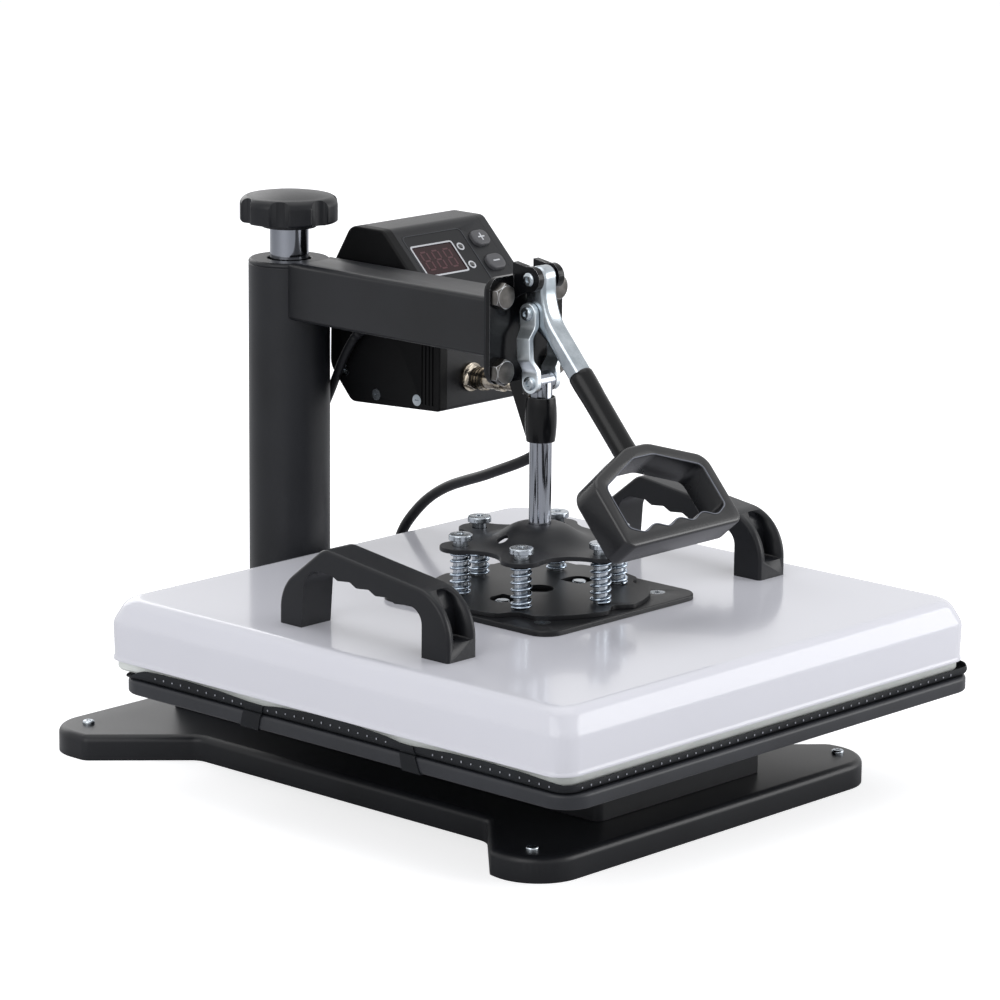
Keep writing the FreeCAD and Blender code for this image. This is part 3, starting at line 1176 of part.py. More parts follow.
def end_cap(near):
    """Moulded end cap with ribs near its front edge and three screw seats."""
    x = BOX_X if near else BOX_FAR_X - BOX_CAP_T
    cap = box_profile(0, x, BOX_CAP_T)
    face_x = BOX_X if near else BOX_FAR_X
    rim = [e for e in cap.Edges
           if abs(e.BoundBox.XMin - face_x) < 1e-4 and abs(e.BoundBox.XMax - face_x) < 1e-4]
    cap = cap.makeFillet(1.8, rim)
    outward = -1 if near else 1
    cuts = []
    for i in range(4):
        y = BOX_FRONT_Y + 5.3 + 3.4 * i
        low_x = face_x if near else face_x - CAP_RIB_DEPTH
        cuts.append(block(low_x, low_x + CAP_RIB_DEPTH, y, y + 1.3, 237, BOX_SLOPE_Z - 2 + 3 * i))
    for at in cap_screw_places(face_x):
        cuts.append(rod(BASE_SCREW_HEAD_R, 1.6, at - X_AXIS * (1.6 * outward), X_AXIS * outward))
    hollow = box_profile(BOX_WALL, x + (3.0 if near else -1.0), BOX_CAP_T - 2.0)
    cuts.append(hollow)
    if near:
        exit_at = V(*POWER_ROUTE[0])
        cuts.append(rod(6.05, 20, V(BOX_X - 10, exit_at.y - 4, exit_at.z), X_AXIS))
    else:
        cuts.append(block(BOX_FAR_X - 20, BOX_FAR_X + 2, ROCKER_Y - ROCKER_HALF_Y - 2,
                          ROCKER_Y + ROCKER_HALF_Y + 2, ROCKER_Z - ROCKER_HALF_Z - 2,
                          ROCKER_Z + ROCKER_HALF_Z + 2))
    return cap.cut(cuts)


def cap_screw_places(x):
    return [V(x, 213.0, 250.5), V(x, 182.5, 237.4), V(x, 143.4, 239.0)]


def cap_screws():
    screws = []
    for x, out in ((BOX_X, -1), (BOX_FAR_X, 1)):
        for at in cap_screw_places(x):
            seat = at - X_AXIS * (1.6 * out)
            head = rod(BASE_SCREW_HEAD_R - 0.2, 1.4, seat, X_AXIS * out)
            screws.append(head.cut(block(seat.x - 2, seat.x + 2, at.y - 1.8, at.y + 1.8, at.z - 0.4, at.z + 0.4)
                                   .common(rod(3, 1.4, seat + X_AXIS * (0.7 * out), X_AXIS * out))))
    return screws


def front_panel():
    """Thin overlay in the recess of the slope, open at the display window."""
    gap = 0.1
    overlay = slope_block(PANEL_X + gap, PANEL_FAR_X - gap, PANEL_S + gap, PANEL_FAR_S - gap, -PANEL_T, -0.1, 3)
    window = slope_block(WINDOW_X, WINDOW_FAR_X, WINDOW_S, WINDOW_FAR_S, -5, 2, 1)
    lamps = [rod(LED_R + 0.1, 10, on_slope(LED_X, s, -6), slope_axes()[2]) for s in LED_SS]
    return overlay.cut([window] + lamps)


def display_module():
    gap = 0.15
    return slope_block(WINDOW_X + gap, WINDOW_FAR_X - gap, WINDOW_S + gap, WINDOW_FAR_S - gap, -4.5, -0.5, 1)


def indicator_lamps():
    normal = slope_axes()[2]
    lamps = []
    for s in LED_SS:
        lamp = rod(LED_R, 5, on_slope(LED_X, s, -5), normal)
        lamps.append(lamp.fuse(Part.makeSphere(LED_R, on_slope(LED_X, s, 0))))
    return lamps


def key(index):
    """Push key that stands proud of the slope and is guided by its own hole."""
    cap = key_block(index, -4.2, KEY_PROUD, 0)
    normal = slope_axes()[2]
    top = on_slope(KEY_X, KEY_SS[index], KEY_PROUD)
    rim = [e for e in cap.Edges if abs((e.CenterOfMass - top).dot(normal)) < 0.01]
    return cap.makeFillet(1.4, rim)


def cable_connector():
    """Panel socket with its nut, and the screwed plug of the heater cable in front of it."""
    at = V(SOCKET_X, BOX_FRONT_Y, SOCKET_Z)
    out = -Y_AXIS
    socket = ring(SOCKET_R - 2.6, 4.0, 6, at + Y_AXIS * 4, out)
    socket = socket.fuse(ring(SOCKET_R + 1.5, 4.0, 2.4, at, out))
    socket = socket.fuse(hex_head(2 * SOCKET_R - 1.5, 3.2, at + out * 2.4, out).cut(rod(4, 10, at, out)))
    barrel = rod(SOCKET_R - 1.2, 11, at + out * 5.8, out)
    ridges = [ring(SOCKET_R - 0.6, SOCKET_R - 2, 1.2, at + out * (7 + 2.4 * i), out) for i in range(3)]
    neck = Part.makeCone(SOCKET_R - 2.2, SOCKET_R - 3.2, 10, at + out * 16.8, out)
    clamp = rod(SOCKET_R - 2.4, 6, at + out * 26.8, out)
    tail_y = HEATER_ROUTE[0][1]
    tail = rod(HEATER_CABLE_R + 0.8, BOX_FRONT_Y - 32.8 - tail_y, at + out * 32.8, out)
    plug = barrel.fuse(ridges + [neck, clamp, tail]).removeSplitter()
    return [socket, plug]


def box_bracket():
    """Spacer block that carries the box on the side of the arm."""
    half = ARM_W / 2
    return slab(half, BOX_X, BOX_FRONT_Y + 33, BOX_FRONT_Y + 65, ARM_TOP_Z - ARM_H + 4, ARM_TOP_Z - 5, 2)


def circuit_board():
    """Board on two pillars off the rear wall, with its transformer, relay and three capacitors."""
    x0, x1 = BOX_X + BOX_CAP_T + BOARD_MARGIN, BOX_FAR_X - BOX_CAP_T - BOARD_MARGIN
    y = BOX_REAR_Y - BOARD_REAR_GAP - BOARD_T
    z0, wide = SOCKET_Z - 10.6, x1 - x0
    board = block(x0, x1, y, y + BOARD_T, z0, z0 + BOARD_H)
    parts = [block(x0 + 0.08 * wide, x0 + 0.47 * wide, y - 20, y, z0 + 6, z0 + 32),
             block(x1 - 0.32 * wide, x1 - 0.08 * wide, y - 16, y, z0 + 8, z0 + 26),
             block(x1 - 0.32 * wide, x1 - 0.12 * wide, y - 12, y, z0 + 42, z0 + 62),
             rod(5, 16, V(x0 + 0.18 * wide, y, z0 + 52), -Y_AXIS),
             rod(4, 12, V(x0 + 0.43 * wide, y, z0 + 54), -Y_AXIS)]
    struts = [rod(3, BOARD_REAR_GAP - 1.9, V(x, y, z0 + BOARD_H - 10), Y_AXIS) for x in (x0 + 6, x1 - 6)]
    return board.fuse(parts + struts)


def rocker_frame():
    x = BOX_FAR_X
    y, z = ROCKER_HALF_Y + 2, ROCKER_HALF_Z + 2
    frame = block(x - 16, x, ROCKER_Y - y, ROCKER_Y + y, ROCKER_Z - z, ROCKER_Z + z)
    flange = block(x, x + 1.6, ROCKER_Y - y - 1.5, ROCKER_Y + y + 1.5, ROCKER_Z - z - 1.5, ROCKER_Z + z + 1.5)
    well = block(x - 13, x + 2, ROCKER_Y - ROCKER_HALF_Y - 0.4, ROCKER_Y + ROCKER_HALF_Y + 0.4,
                 ROCKER_Z - ROCKER_HALF_Z - 0.7, ROCKER_Z + ROCKER_HALF_Z + 0.7)
    pivot = rod(ROCKER_PIN_R + RUN_GAP, 2 * y - 0.6, V(x, ROCKER_Y - y + 0.3, ROCKER_Z), Y_AXIS)
    return frame.fuse(flange).cut([well, pivot])


def rocker():
    """Power rocker, stored in its off position: shallow V-shaped face, pivoted below it."""
    x, z, half = BOX_FAR_X, ROCKER_Z, ROCKER_HALF_Z
    tilt = math.tan(math.radians(ROCKER_TILT))
    outline = ((x - 7, z - half + 1.5), (x + 0.8 + half * tilt, z - half), (x + 0.8, z), (x + 0.8, z + half),
               (x - 7, z + half - 1.5))
    place = lambda p: V(p.x, ROCKER_Y - ROCKER_HALF_Y, p.y)
    body = prism(outline, (1, 1, 6, 1, 1), place, Y_AXIS * (2 * ROCKER_HALF_Y))
    pin_half = ROCKER_HALF_Y + 1.6
    return body.fuse(rod(ROCKER_PIN_R, 2 * pin_half, V(x, ROCKER_Y - pin_half, z), Y_AXIS))


# Cables

def cable_path(points, label):
    """Straight runs joined by tangent arcs, each as large as its two runs allow."""
    spots = [V(*p) for p in points]
    edges = []
    here = spots[0]
    radii = []
    for i in range(1, len(spots) - 1):
        back, corner, ahead = spots[i - 1], spots[i], spots[i + 1]
        into = (back - corner)
        out = (ahead - corner)
        turn = math.pi - into.getAngle(out)
        reach = 0.45 * min(into.Length, out.Length)
        radius = reach / math.tan(turn / 2)
        radii.append(round(radius, 1))
        into.normalize()
        out.normalize()
        start, end = corner + into * reach, corner + out * reach
        middle = (into + out).normalize()
        mid = corner + middle * (radius / math.cos(turn / 2) - radius)
        edges.append(Part.LineSegment(here, start).toShape())
        edges.append(Part.Arc(start, mid, end).toShape())
        here = end
    edges.append(Part.LineSegment(here, spots[-1]).toShape())
    print(label, "radii", radii)
    return Part.Wire(edges)


def cable_tube(points, r, label):
    path = cable_path(points, label)
    start = V(*points[0])
    along = V(*points[1]) - start
    section = Part.Wire([Part.Circle(start, along, r).toShape()])
    tube = path.makePipeShell([section], True, False)
    print(label, "length %.1f" % path.Length, "volume ratio %.4f" % (tube.Volume / (path.Length * math.pi * r * r)))
    return tube


def heater_cable():
    return cable_tube(HEATER_ROUTE, HEATER_CABLE_R, "heater cable")


def power_cable():
    return cable_tube(POWER_ROUTE, POWER_CABLE_R, "power cable")


def cord_gland():
    """Strain relief of the power cable in the near end cap."""
    at = V(*POWER_ROUTE[0])
    stem = rod(6.0, 4, V(BOX_X, at.y - 4, at.z), X_AXIS)
    flange = rod(8.0, 1.6, V(BOX_X - 1.6, at.y - 4, at.z), X_AXIS)
    elbow = block(at.x - 4.3, BOX_X - 1.6, at.y - 7, at.y - 0.6, at.z - 4.6, at.z + 4.6)
    return flange.fuse([stem, elbow])


def coil_centre():
    end = V(*POWER_ROUTE[-1])
    return V(end.x + COIL_R, end.y, COIL_LIFT)


def cord_coil():
    """Outer shape of the neatly wound part of the power cable."""
    wound = ring(COIL_R + COIL_HALF_W, COIL_R - COIL_HALF_W, COIL_H, coil_centre())
    rims = [e for z in (COIL_LIFT, COIL_LIFT + COIL_H) for e in edges_at(wound, z)]
    return wound.makeFillet(POWER_CABLE_R, rims)


def mains_plug():
    """Three-pin plug that lies beside the coil."""
    at = coil_centre() + V(COIL_R + COIL_HALF_W + 32.3, 0, 0)
    body = slab(at.x - 17, at.x + 17, at.y - 14, at.y + 14, at.z, at.z + 22, 8)
    tail = rod(5, 15, V(at.x - 17, at.y, 8), -X_AXIS)
    pins = [block(at.x + 17, at.x + 35, at.y + dy - 3, at.y + dy + 3, 10.2, 11.8) for dy in (-6.5, 6.5)]
    earth = rod(2.4, 20, V(at.x + 17, at.y, 5.2), X_AXIS)
    return body.fuse([tail, earth] + pins)


PARTS = {
    "base_shell": base_shell, "base_floor": base_floor, "base_screws": base_screws,
    "riser_beam": riser_beam, "bed_plate": bed_plate, "silicone_pad": silicone_pad,
    "pad_sleeve": pad_sleeve, "pad_straps": pad_straps, "inner_post": inner_post,
    "flange_bolts": flange_bolts, "post_bushes": post_bushes, "thrust_washers": thrust_washers,
    "height_screw": height_screw, "knob_sleeve": knob_sleeve, "height_knob": height_knob,
    "column_tube": column_tube, "column_cap": column_cap, "arm_beam": arm_beam,
    "toggle_plate": toggle_plate, "guide_bush": guide_bush, "plate_bolts": plate_bolts,
    "top_pin": top_pin, "lever_arm": lever_arm, "lever_sleeve": lever_sleeve, "d_handle": d_handle,
    "mid_pin": mid_pin, "toggle_links": toggle_links, "lower_rivets": lower_rivets,
    "plunger_rod": plunger_rod, "spring_plate": spring_plate, "spring_disc": spring_disc,
    "shoulder_bolts": lambda: [shoulder_bolt(a) for a in bolt_angles()],
    "coil_springs": lambda: [coil_spring(a) for a in bolt_angles()],
    "heat_platen": heat_platen, "insulation_mat": insulation_mat, "cover": cover,
    "mounting_plate": mounting_plate, "mounting_screws": mounting_screws,
    "side_handle_left": lambda: side_handle(-1), "side_handle_right": lambda: side_handle(1),
    "cable_gland": cable_gland, "heater_cable": heater_cable, "box_shell": box_shell,
    "near_end_cap": lambda: end_cap(True), "far_end_cap": lambda: end_cap(False),
    "cap_screws": cap_screws, "front_panel": front_panel, "display_module": display_module,
    "indicator_lamps": indicator_lamps, "plus_key": lambda: key(0), "minus_key": lambda: key(1),
    "cable_connector": cable_connector, "box_bracket": box_bracket, "circuit_board": circuit_board,
    "rocker_frame": rocker_frame, "rocker": rocker, "cord_gland": cord_gland,
    "power_cable": power_cable, "cord_coil": cord_coil, "mains_plug": mains_plug,
}


def main():
    os.makedirs("parts", exist_ok=True)
    for name, make in PARTS.items():
        made = make()
        shape = Part.makeCompound(made) if isinstance(made, list) else made
        if not shape.isValid():
            print("not valid:", name)
        print(name, "%.0f mm3" % shape.Volume, len(shape.Solids), "solids")
        shape.exportStep("parts/" + name + ".step")


main()
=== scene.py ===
import json
import math

import bmesh
import bpy
from mathutils import Matrix, Vector


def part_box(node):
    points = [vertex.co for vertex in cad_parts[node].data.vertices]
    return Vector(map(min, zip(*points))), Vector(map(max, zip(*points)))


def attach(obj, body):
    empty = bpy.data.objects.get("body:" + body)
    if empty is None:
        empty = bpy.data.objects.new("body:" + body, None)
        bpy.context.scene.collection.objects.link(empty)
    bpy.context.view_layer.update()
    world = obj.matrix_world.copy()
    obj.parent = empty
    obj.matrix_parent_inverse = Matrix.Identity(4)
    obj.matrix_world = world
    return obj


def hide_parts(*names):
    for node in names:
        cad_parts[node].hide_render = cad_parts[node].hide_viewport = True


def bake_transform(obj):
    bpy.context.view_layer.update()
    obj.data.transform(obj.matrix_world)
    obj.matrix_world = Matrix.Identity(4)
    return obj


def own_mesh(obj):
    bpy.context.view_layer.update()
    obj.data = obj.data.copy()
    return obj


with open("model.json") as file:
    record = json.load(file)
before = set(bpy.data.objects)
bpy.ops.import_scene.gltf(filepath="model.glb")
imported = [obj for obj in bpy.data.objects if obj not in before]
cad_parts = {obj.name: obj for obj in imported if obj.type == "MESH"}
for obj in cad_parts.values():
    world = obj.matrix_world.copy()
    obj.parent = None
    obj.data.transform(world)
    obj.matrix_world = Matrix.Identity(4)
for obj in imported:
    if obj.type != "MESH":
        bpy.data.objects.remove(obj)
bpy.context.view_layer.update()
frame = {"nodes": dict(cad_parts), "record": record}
nodes = frame["nodes"]

MM = 0.001
X, Z = Vector((1, 0, 0)), Vector((0, 0, 1))


def mm(x, y, z):
    """Place in metres from millimetres."""
    return Vector((x, y, z)) * MM


def put(name, data):
    """New object in the scene."""
    thing = bpy.data.objects.new(name, data)
    bpy.context.scene.collection.objects.link(thing)
    return thing


def mesh_of(shape, name):
    mesh = bpy.data.meshes.new(name)
    shape.to_mesh(mesh)
    shape.free()
    return mesh


# Camera, at the photograph's viewing angle

VIEW_AZIMUTH = -47.2
VIEW_ELEVATION = 12.91
VIEW_DISTANCE = 3.0023
VIEW_TARGET = mm(-10.8, 26.3, 194.1)
VIEW_ROLL = 0.49
LENS, SENSOR = 161.78, 36.0
FAR_CLIP = 50.0


def place_camera():
    turn, rise = math.radians(VIEW_AZIMUTH), math.radians(VIEW_ELEVATION)
    back = Vector((math.sin(turn) * math.cos(rise), -math.cos(turn) * math.cos(rise), math.sin(rise)))
    camera = put("camera", bpy.data.cameras.new("camera"))
    camera.location = VIEW_TARGET + back * VIEW_DISTANCE
    level = (-back).to_track_quat("-Z", "Y").to_matrix().to_4x4()
    camera.matrix_world = (Matrix.Translation(camera.location) @ level
                           @ Matrix.Rotation(math.radians(VIEW_ROLL), 4, "Z"))
    camera.data.lens = LENS
    camera.data.sensor_width = SENSOR
    camera.data.clip_end = FAR_CLIP
    bpy.context.scene.camera = camera


# Studio: white all round for the camera, soft room light and four softboxes

ROOM_TINT, ROOM_STRENGTH = (0.94, 0.96, 1.0, 1), 0.40
WHITE = (1, 1, 1, 1)
FLOOR_TONE, FLOOR_ROUGH, FLOOR_SHINE = (0.82, 0.82, 0.83, 1), 0.9, 0.1
FLOOR_GLOW, FLOOR_HALF = 0.66, 9.0
LAMP_AIM = Vector((0, 0.05, 0.15))
LAMPS = (
    ("left_softbox", (-2.8, -0.4, 1.5), (2.4, 2.0), 31),
    ("right_softbox", (2.3, -2.3, 1.0), (2.6, 1.8), 54),
    ("top_softbox", (0.1, 0.3, 2.8), (2.6, 2.6), 24),
    ("rear_softbox", (0.8, 2.6, 1.2), (2.0, 1.4), 14),
)


def set_inputs(node, **values):
    """Values of a node's input sockets, with _ for a space in their names."""
    for socket, value in values.items():
        node.inputs[socket.replace("_", " ")].default_value = value


def shader_node(tree, kind, operation=None, **values):
    made = tree.nodes.new("ShaderNode" + kind)
    if operation:
        made.operation = operation
    set_inputs(made, **values)
    return made


def wire(tree, *pairs):
    """Links nodes; each pair says node, output, node and input."""
    for source, output, target, socket in pairs:
        tree.links.new(source.outputs[output], target.inputs[socket])


def light_room():
    """World: white to the camera and in reflections, a soft pale light on the object."""
    world = bpy.data.worlds.new("studio")
    bpy.context.scene.world = world
    world.use_nodes = True
    tree = world.node_tree
    tree.nodes.clear()
    out = shader_node(tree, "OutputWorld")
    backdrop = shader_node(tree, "Background", Color=WHITE, Strength=1.0)
    room = shader_node(tree, "Background", Color=ROOM_TINT, Strength=ROOM_STRENGTH)
    rays = shader_node(tree, "LightPath")
    seen = shader_node(tree, "Math", "MAXIMUM")
    also_seen = shader_node(tree, "Math", "MAXIMUM")
    mix = shader_node(tree, "MixShader")
    wire(tree, (rays, "Is Camera Ray", seen, 0), (rays, "Is Glossy Ray", seen, 1), (seen, 0, also_seen, 0),
         (rays, "Is Transmission Ray", also_seen, 1), (also_seen, 0, mix, "Fac"), (room, 0, mix, 1),
         (backdrop, 0, mix, 2), (mix, 0, out, "Surface"))


def hang_lamps():
    for name, at, size, watts in LAMPS:
        data = bpy.data.lights.new(name, "AREA")
        data.shape = "RECTANGLE"
        data.size, data.size_y = size
        data.energy = watts
        thing = put(name, data)
        thing.location = at
        thing.rotation_euler = (LAMP_AIM - Vector(at)).to_track_quat("-Z", "Y").to_euler()


def lay_floor():
    """Pale paper that is white to the camera and keeps the object's shadow."""
    shape = bmesh.new()
    bmesh.ops.create_grid(shape, x_segments=1, y_segments=1, size=FLOOR_HALF)
    mesh = mesh_of(shape, "floor")
    sheet = put("floor", mesh)
    paper = bpy.data.materials.new("floor_paper")
    paper.use_nodes = True
    tree = paper.node_tree
    shader = tree.nodes["Principled BSDF"]
    set_inputs(shader, Base_Color=FLOOR_TONE, Roughness=FLOOR_ROUGH, Specular_IOR_Level=FLOOR_SHINE,
               Emission_Color=WHITE)
    seen = shader_node(tree, "LightPath")
    glow = shader_node(tree, "Math", "MULTIPLY")
    glow.inputs[1].default_value = FLOOR_GLOW
    wire(tree, (seen, "Is Camera Ray", glow, 0), (glow, 0, shader, "Emission Strength"))
    mesh.materials.append(paper)


bpy.context.scene.view_settings.view_transform = "Standard"
place_camera()
light_room()
hang_lamps()
lay_floor()


# Materials

def group(name, inputs, outputs):
    """Empty shader node group with named inputs and outputs."""
    made = bpy.data.node_groups.new(name, "ShaderNodeTree")
    for label, kind, value in inputs:
        socket = made.interface.new_socket(label, in_out="INPUT", socket_type=kind)
        if value is not None:
            socket.default_value = value
    for label, kind in outputs:
        made.interface.new_socket(label, in_out="OUTPUT", socket_type=kind)
    return made, made.nodes.new("NodeGroupInput"), made.nodes.new("NodeGroupOutput")


FLOAT, COLOR, VECTOR = "NodeSocketFloat", "NodeSocketColor", "NodeSocketVector"


def grain_group():
    """Fine grain for the height of a bump, and slow patches for the roughness."""
    tree, given, result = group("grain", [("Vector", VECTOR, None), ("Size", FLOAT, 900.0),
                                          ("Rough", FLOAT, 0.4), ("Patch", FLOAT, 0.08)],
                                [("Height", FLOAT), ("Roughness", FLOAT)])
    fine = shader_node(tree, "TexNoise", Detail=3.0)
    slow = shader_node(tree, "TexNoise", Scale=14.0, Detail=4.0)
    spread = shader_node(tree, "Math", "SUBTRACT")
    spread.inputs[1].default_value = 0.5
    patch = shader_node(tree, "Math", "MULTIPLY_ADD")
    wire(tree, (given, "Vector", fine, "Vector"), (given, "Size", fine, "Scale"),
         (given, "Vector", slow, "Vector"), (slow, "Fac", spread, 0), (spread, 0, patch, 0),
         (given, "Patch", patch, 1), (given, "Rough", patch, 2), (fine, "Fac", result, "Height"),
         (patch, 0, result, "Roughness"))
    return tree


GRAIN, GRAIN_DEPTH = grain_group(), 0.2 * MM


def tint_group():
    """Colour that drifts slowly between two tones."""
    tree, given, result = group("tint", [("Vector", VECTOR, None), ("Light", COLOR, (1, 1, 1, 1)),
                                         ("Dark", COLOR, (0, 0, 0, 1)), ("Size", FLOAT, 20.0)],
                                [("Color", COLOR)])
    slow = shader_node(tree, "TexNoise", Detail=5.0)
    ramp = shader_node(tree, "MapRange", From_Min=0.35, From_Max=0.65)
    mix = shader_node(tree, "Mix")
    mix.data_type = "RGBA"
    wire(tree, (given, "Vector", slow, "Vector"), (given, "Size", slow, "Scale"),
         (slow, "Fac", ramp, "Value"), (ramp, "Result", mix, "Factor"), (given, "Dark", mix, "A"),
         (given, "Light", mix, "B"), (mix, "Result", result, "Color"))
    return tree


TINT = tint_group()


def finish_material(name, light, dark, rough, grain, bump, patch, specular=0.5, metal=0.0, size=20.0,
                    coat=0.0, coat_rough=0.1):
    """Principled material with grain, patches in its gloss and a slow drift of tone."""
    material = bpy.data.materials.new(name)
    material.use_nodes = True
    tree = material.node_tree
    shader = tree.nodes["Principled BSDF"]
    place = shader_node(tree, "TexCoord")
    tint = shader_node(tree, "Group")
    tint.node_tree = TINT
    texture = shader_node(tree, "Group")
    texture.node_tree = GRAIN
    bumps = shader_node(tree, "Bump", Strength=bump, Distance=GRAIN_DEPTH)
    set_inputs(tint, Light=(*light, 1), Dark=(*dark, 1), Size=size)
    set_inputs(texture, Size=grain, Rough=rough, Patch=patch)
    set_inputs(shader, Specular_IOR_Level=specular, Metallic=metal, Coat_Weight=coat,
               Coat_Roughness=coat_rough)
    wire(tree, (place, "Object", tint, "Vector"), (place, "Object", texture, "Vector"),
         (tint, "Color", shader, "Base Color"), (texture, "Roughness", shader, "Roughness"),
         (texture, "Height", bumps, "Height"), (bumps, "Normal", shader, "Normal"))
    return material


def grey(v):
    """Grey that leans a little to blue."""
    return (v * 0.93, v, v * 1.22)


# Light tone, dark tone, roughness, grain size, grain height and patches in the gloss; then, where they
# aren't the usual ones, reflection, metal, size of the drift in tone, clear coat and its roughness
FINISHES = {
    "black_powder_coat": (grey(0.012), grey(0.008), 0.38, 1400, 0.30, 0.06, 0.26),
    "black_satin_sheet": (grey(0.008), grey(0.005), 0.40, 1800, 0.15, 0.06, 0.28),
    "base_black_coat": (grey(0.013), grey(0.010), 0.38, 1600, 0.2, 0.05, 0.30),
    "bed_black_coat": (grey(0.026), grey(0.019), 0.42, 1500, 0.2, 0.06, 0.36),
    "dome_black_coat": (grey(0.013), grey(0.010), 0.42, 1800, 0.2, 0.04, 0.26),
    "loop_black_moulding": (grey(0.008), grey(0.006), 0.27, 2400, 0.15, 0.05, 0.50),
    # Pale metal for the bevel faces along edges: a painted highlight on the rims
    "painted_edge_highlight": ((0.55, 0.56, 0.58), (0.42, 0.43, 0.45), 0.25, 900, 0.1, 0.1, 0.5, 1.0),
    # Pale grey of the lip round the hand loop's opening: a painted highlight
    "painted_highlight_lip": (grey(0.16), grey(0.12), 0.25, 1500, 0.05, 0.05, 0.6),
    # Near end cap: the box's black made darker, painted shade from the arm above it
    "painted_shade_cap_black": (grey(0.003), grey(0.002), 0.50, 2200, 0.4, 0.04, 0.14),
    "link_steel": ((0.86, 0.92, 0.96), (0.66, 0.72, 0.76), 0.34, 600, 0.15, 0.10, 0.5, 1.0, 90),
    "printed_white": ((0.62, 0.63, 0.66), (0.52, 0.53, 0.56), 0.5, 1500, 0.1, 0.05),
    "unlit_figures": ((0.075, 0.012, 0.020), (0.055, 0.010, 0.016), 0.3, 900, 0.02, 0.03),
    "panel_border": (grey(0.035), grey(0.025), 0.35, 1500, 0.1, 0.05, 0.4),
    "black_gloss_paint": (grey(0.005), grey(0.003), 0.20, 1500, 0.08, 0.06, 0.22),
    "black_tube_coat": (grey(0.015), grey(0.011), 0.42, 1500, 0.30, 0.08, 0.30),
    "moulded_black": (grey(0.013), grey(0.010), 0.36, 2600, 0.22, 0.06, 0.26),
    "box_black": (grey(0.011), grey(0.009), 0.38, 2200, 0.4, 0.05, 0.30),
    "cover_enamel": ((0.78, 0.78, 0.838), (0.765, 0.765, 0.825), 0.14, 60, 0.015, 0.03, 0.32, 0.0, 5, 0.16,
                     0.05),
    "zinc_plate": ((0.50, 0.54, 0.58), (0.34, 0.37, 0.41), 0.26, 700, 0.15, 0.15, 0.5, 1.0, 120),
    "zinc_link": ((0.46, 0.50, 0.54), (0.33, 0.37, 0.40), 0.24, 600, 0.15, 0.12, 0.5, 1.0, 90),
    "dark_bolt_steel": ((0.15, 0.143, 0.135), (0.09, 0.086, 0.081), 0.30, 900, 0.3, 0.12, 0.5, 1.0, 150),
    "polished_chrome": ((0.31, 0.325, 0.36), (0.26, 0.275, 0.31), 0.10, 900, 0.02, 0.05, 0.5, 1.0),
    "nickel_plate": ((0.50, 0.45, 0.38), (0.20, 0.175, 0.14), 0.20, 800, 0.1, 0.12, 0.5, 1.0, 200),
    "cast_aluminium": ((0.86, 0.89, 0.86), (0.78, 0.81, 0.78), 0.42, 500, 0.3, 0.08, 0.5, 0.1, 40),
    "bearing_bronze": ((0.62, 0.42, 0.20), (0.50, 0.33, 0.15), 0.35, 700, 0.1, 0.1, 0.5, 1.0),
    "cable_rubber": (grey(0.012), grey(0.008), 0.42, 1500, 0.2, 0.08, 0.25),
    "boot_rubber": (grey(0.005), grey(0.003), 0.26, 1500, 0.12, 0.06, 0.24),
    "coated_cloth": ((0.014, 0.016, 0.019), (0.009, 0.010, 0.012), 0.60, 1600, 0.6, 0.08, 0.2),
    "key_grey": ((0.10, 0.10, 0.107), (0.08, 0.08, 0.086), 0.42, 1500, 0.1, 0.05, 0.3),
    "panel_film": (grey(0.010), grey(0.008), 0.36, 1200, 0.08, 0.05, 0.25),
    "display_window": ((0.030, 0.008, 0.010), (0.022, 0.007, 0.009), 0.12, 600, 0.02, 0.03, 0.25),
    "lamp_clear": ((0.10, 0.10, 0.10), (0.07, 0.07, 0.07), 0.2, 600, 0.02, 0.03),
    "insulation_felt": ((0.72, 0.70, 0.64), (0.62, 0.60, 0.55), 0.9, 500, 0.8, 0.05),
    "circuit_board": ((0.05, 0.18, 0.08), (0.04, 0.14, 0.06), 0.45, 900, 0.2, 0.1),
    "silicone_foam": ((0.42, 0.17, 0.08), (0.36, 0.14, 0.07), 0.7, 900, 0.5, 0.05),
    "strap_webbing": ((0.008, 0.0095, 0.012), (0.005, 0.006, 0.008), 0.55, 1800, 0.5, 0.06, 0.2),
    "pale_thread": ((0.42, 0.43, 0.47), (0.30, 0.31, 0.35), 0.6, 1500, 0.3, 0.05),
    "spring_zinc": ((0.50, 0.57, 0.66), (0.34, 0.40, 0.48), 0.22, 700, 0.1, 0.10, 0.5, 1.0, 90),
}
finishes = {name: finish_material(name, *row) for name, row in FINISHES.items()}

FINISH_OF_SLOT = {
    "black_steel": "black_powder_coat", "white_enamel": "cover_enamel", "zinc_steel": "zinc_plate",
    "chrome": "polished_chrome", "black_plastic": "moulded_black", "box_plastic": "box_black",
    "grey_key": "key_grey", "display_red": "display_window", "lamp": "lamp_clear", "panel_film": "panel_film",
    "black_rubber": "cable_rubber", "cloth_black": "coated_cloth", "silicone": "silicone_foam",
    "mat_white": "insulation_felt", "bronze": "bearing_bronze", "board_green": "circuit_board",
    "cast_aluminium": "cast_aluminium",
}
SLOT_OF = {part["node"]: part["material_slot"] for part in frame["record"]["subparts"]}
BODY_OF = {member: body for body, members in frame["record"]["behaviour"]["bodies"].items()
           for member in members}


# Making pieces

replaced = set()


def piece(name, shape, body, finish, smooth=35.0, stands_for=()):
    """Turns a finished bmesh into an object that rides on a body; stands_for names its CAD nodes."""
    mesh = mesh_of(shape, name)
    thing = put(name, mesh)
    mesh.materials.append(finishes[finish])
    mesh.shade_smooth()
    mesh.set_sharp_from_angle(angle=math.radians(smooth))
    if body:
        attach(thing, body)
    if stands_for:
        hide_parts(*stands_for)
        replaced.update(stands_for)
    return thing


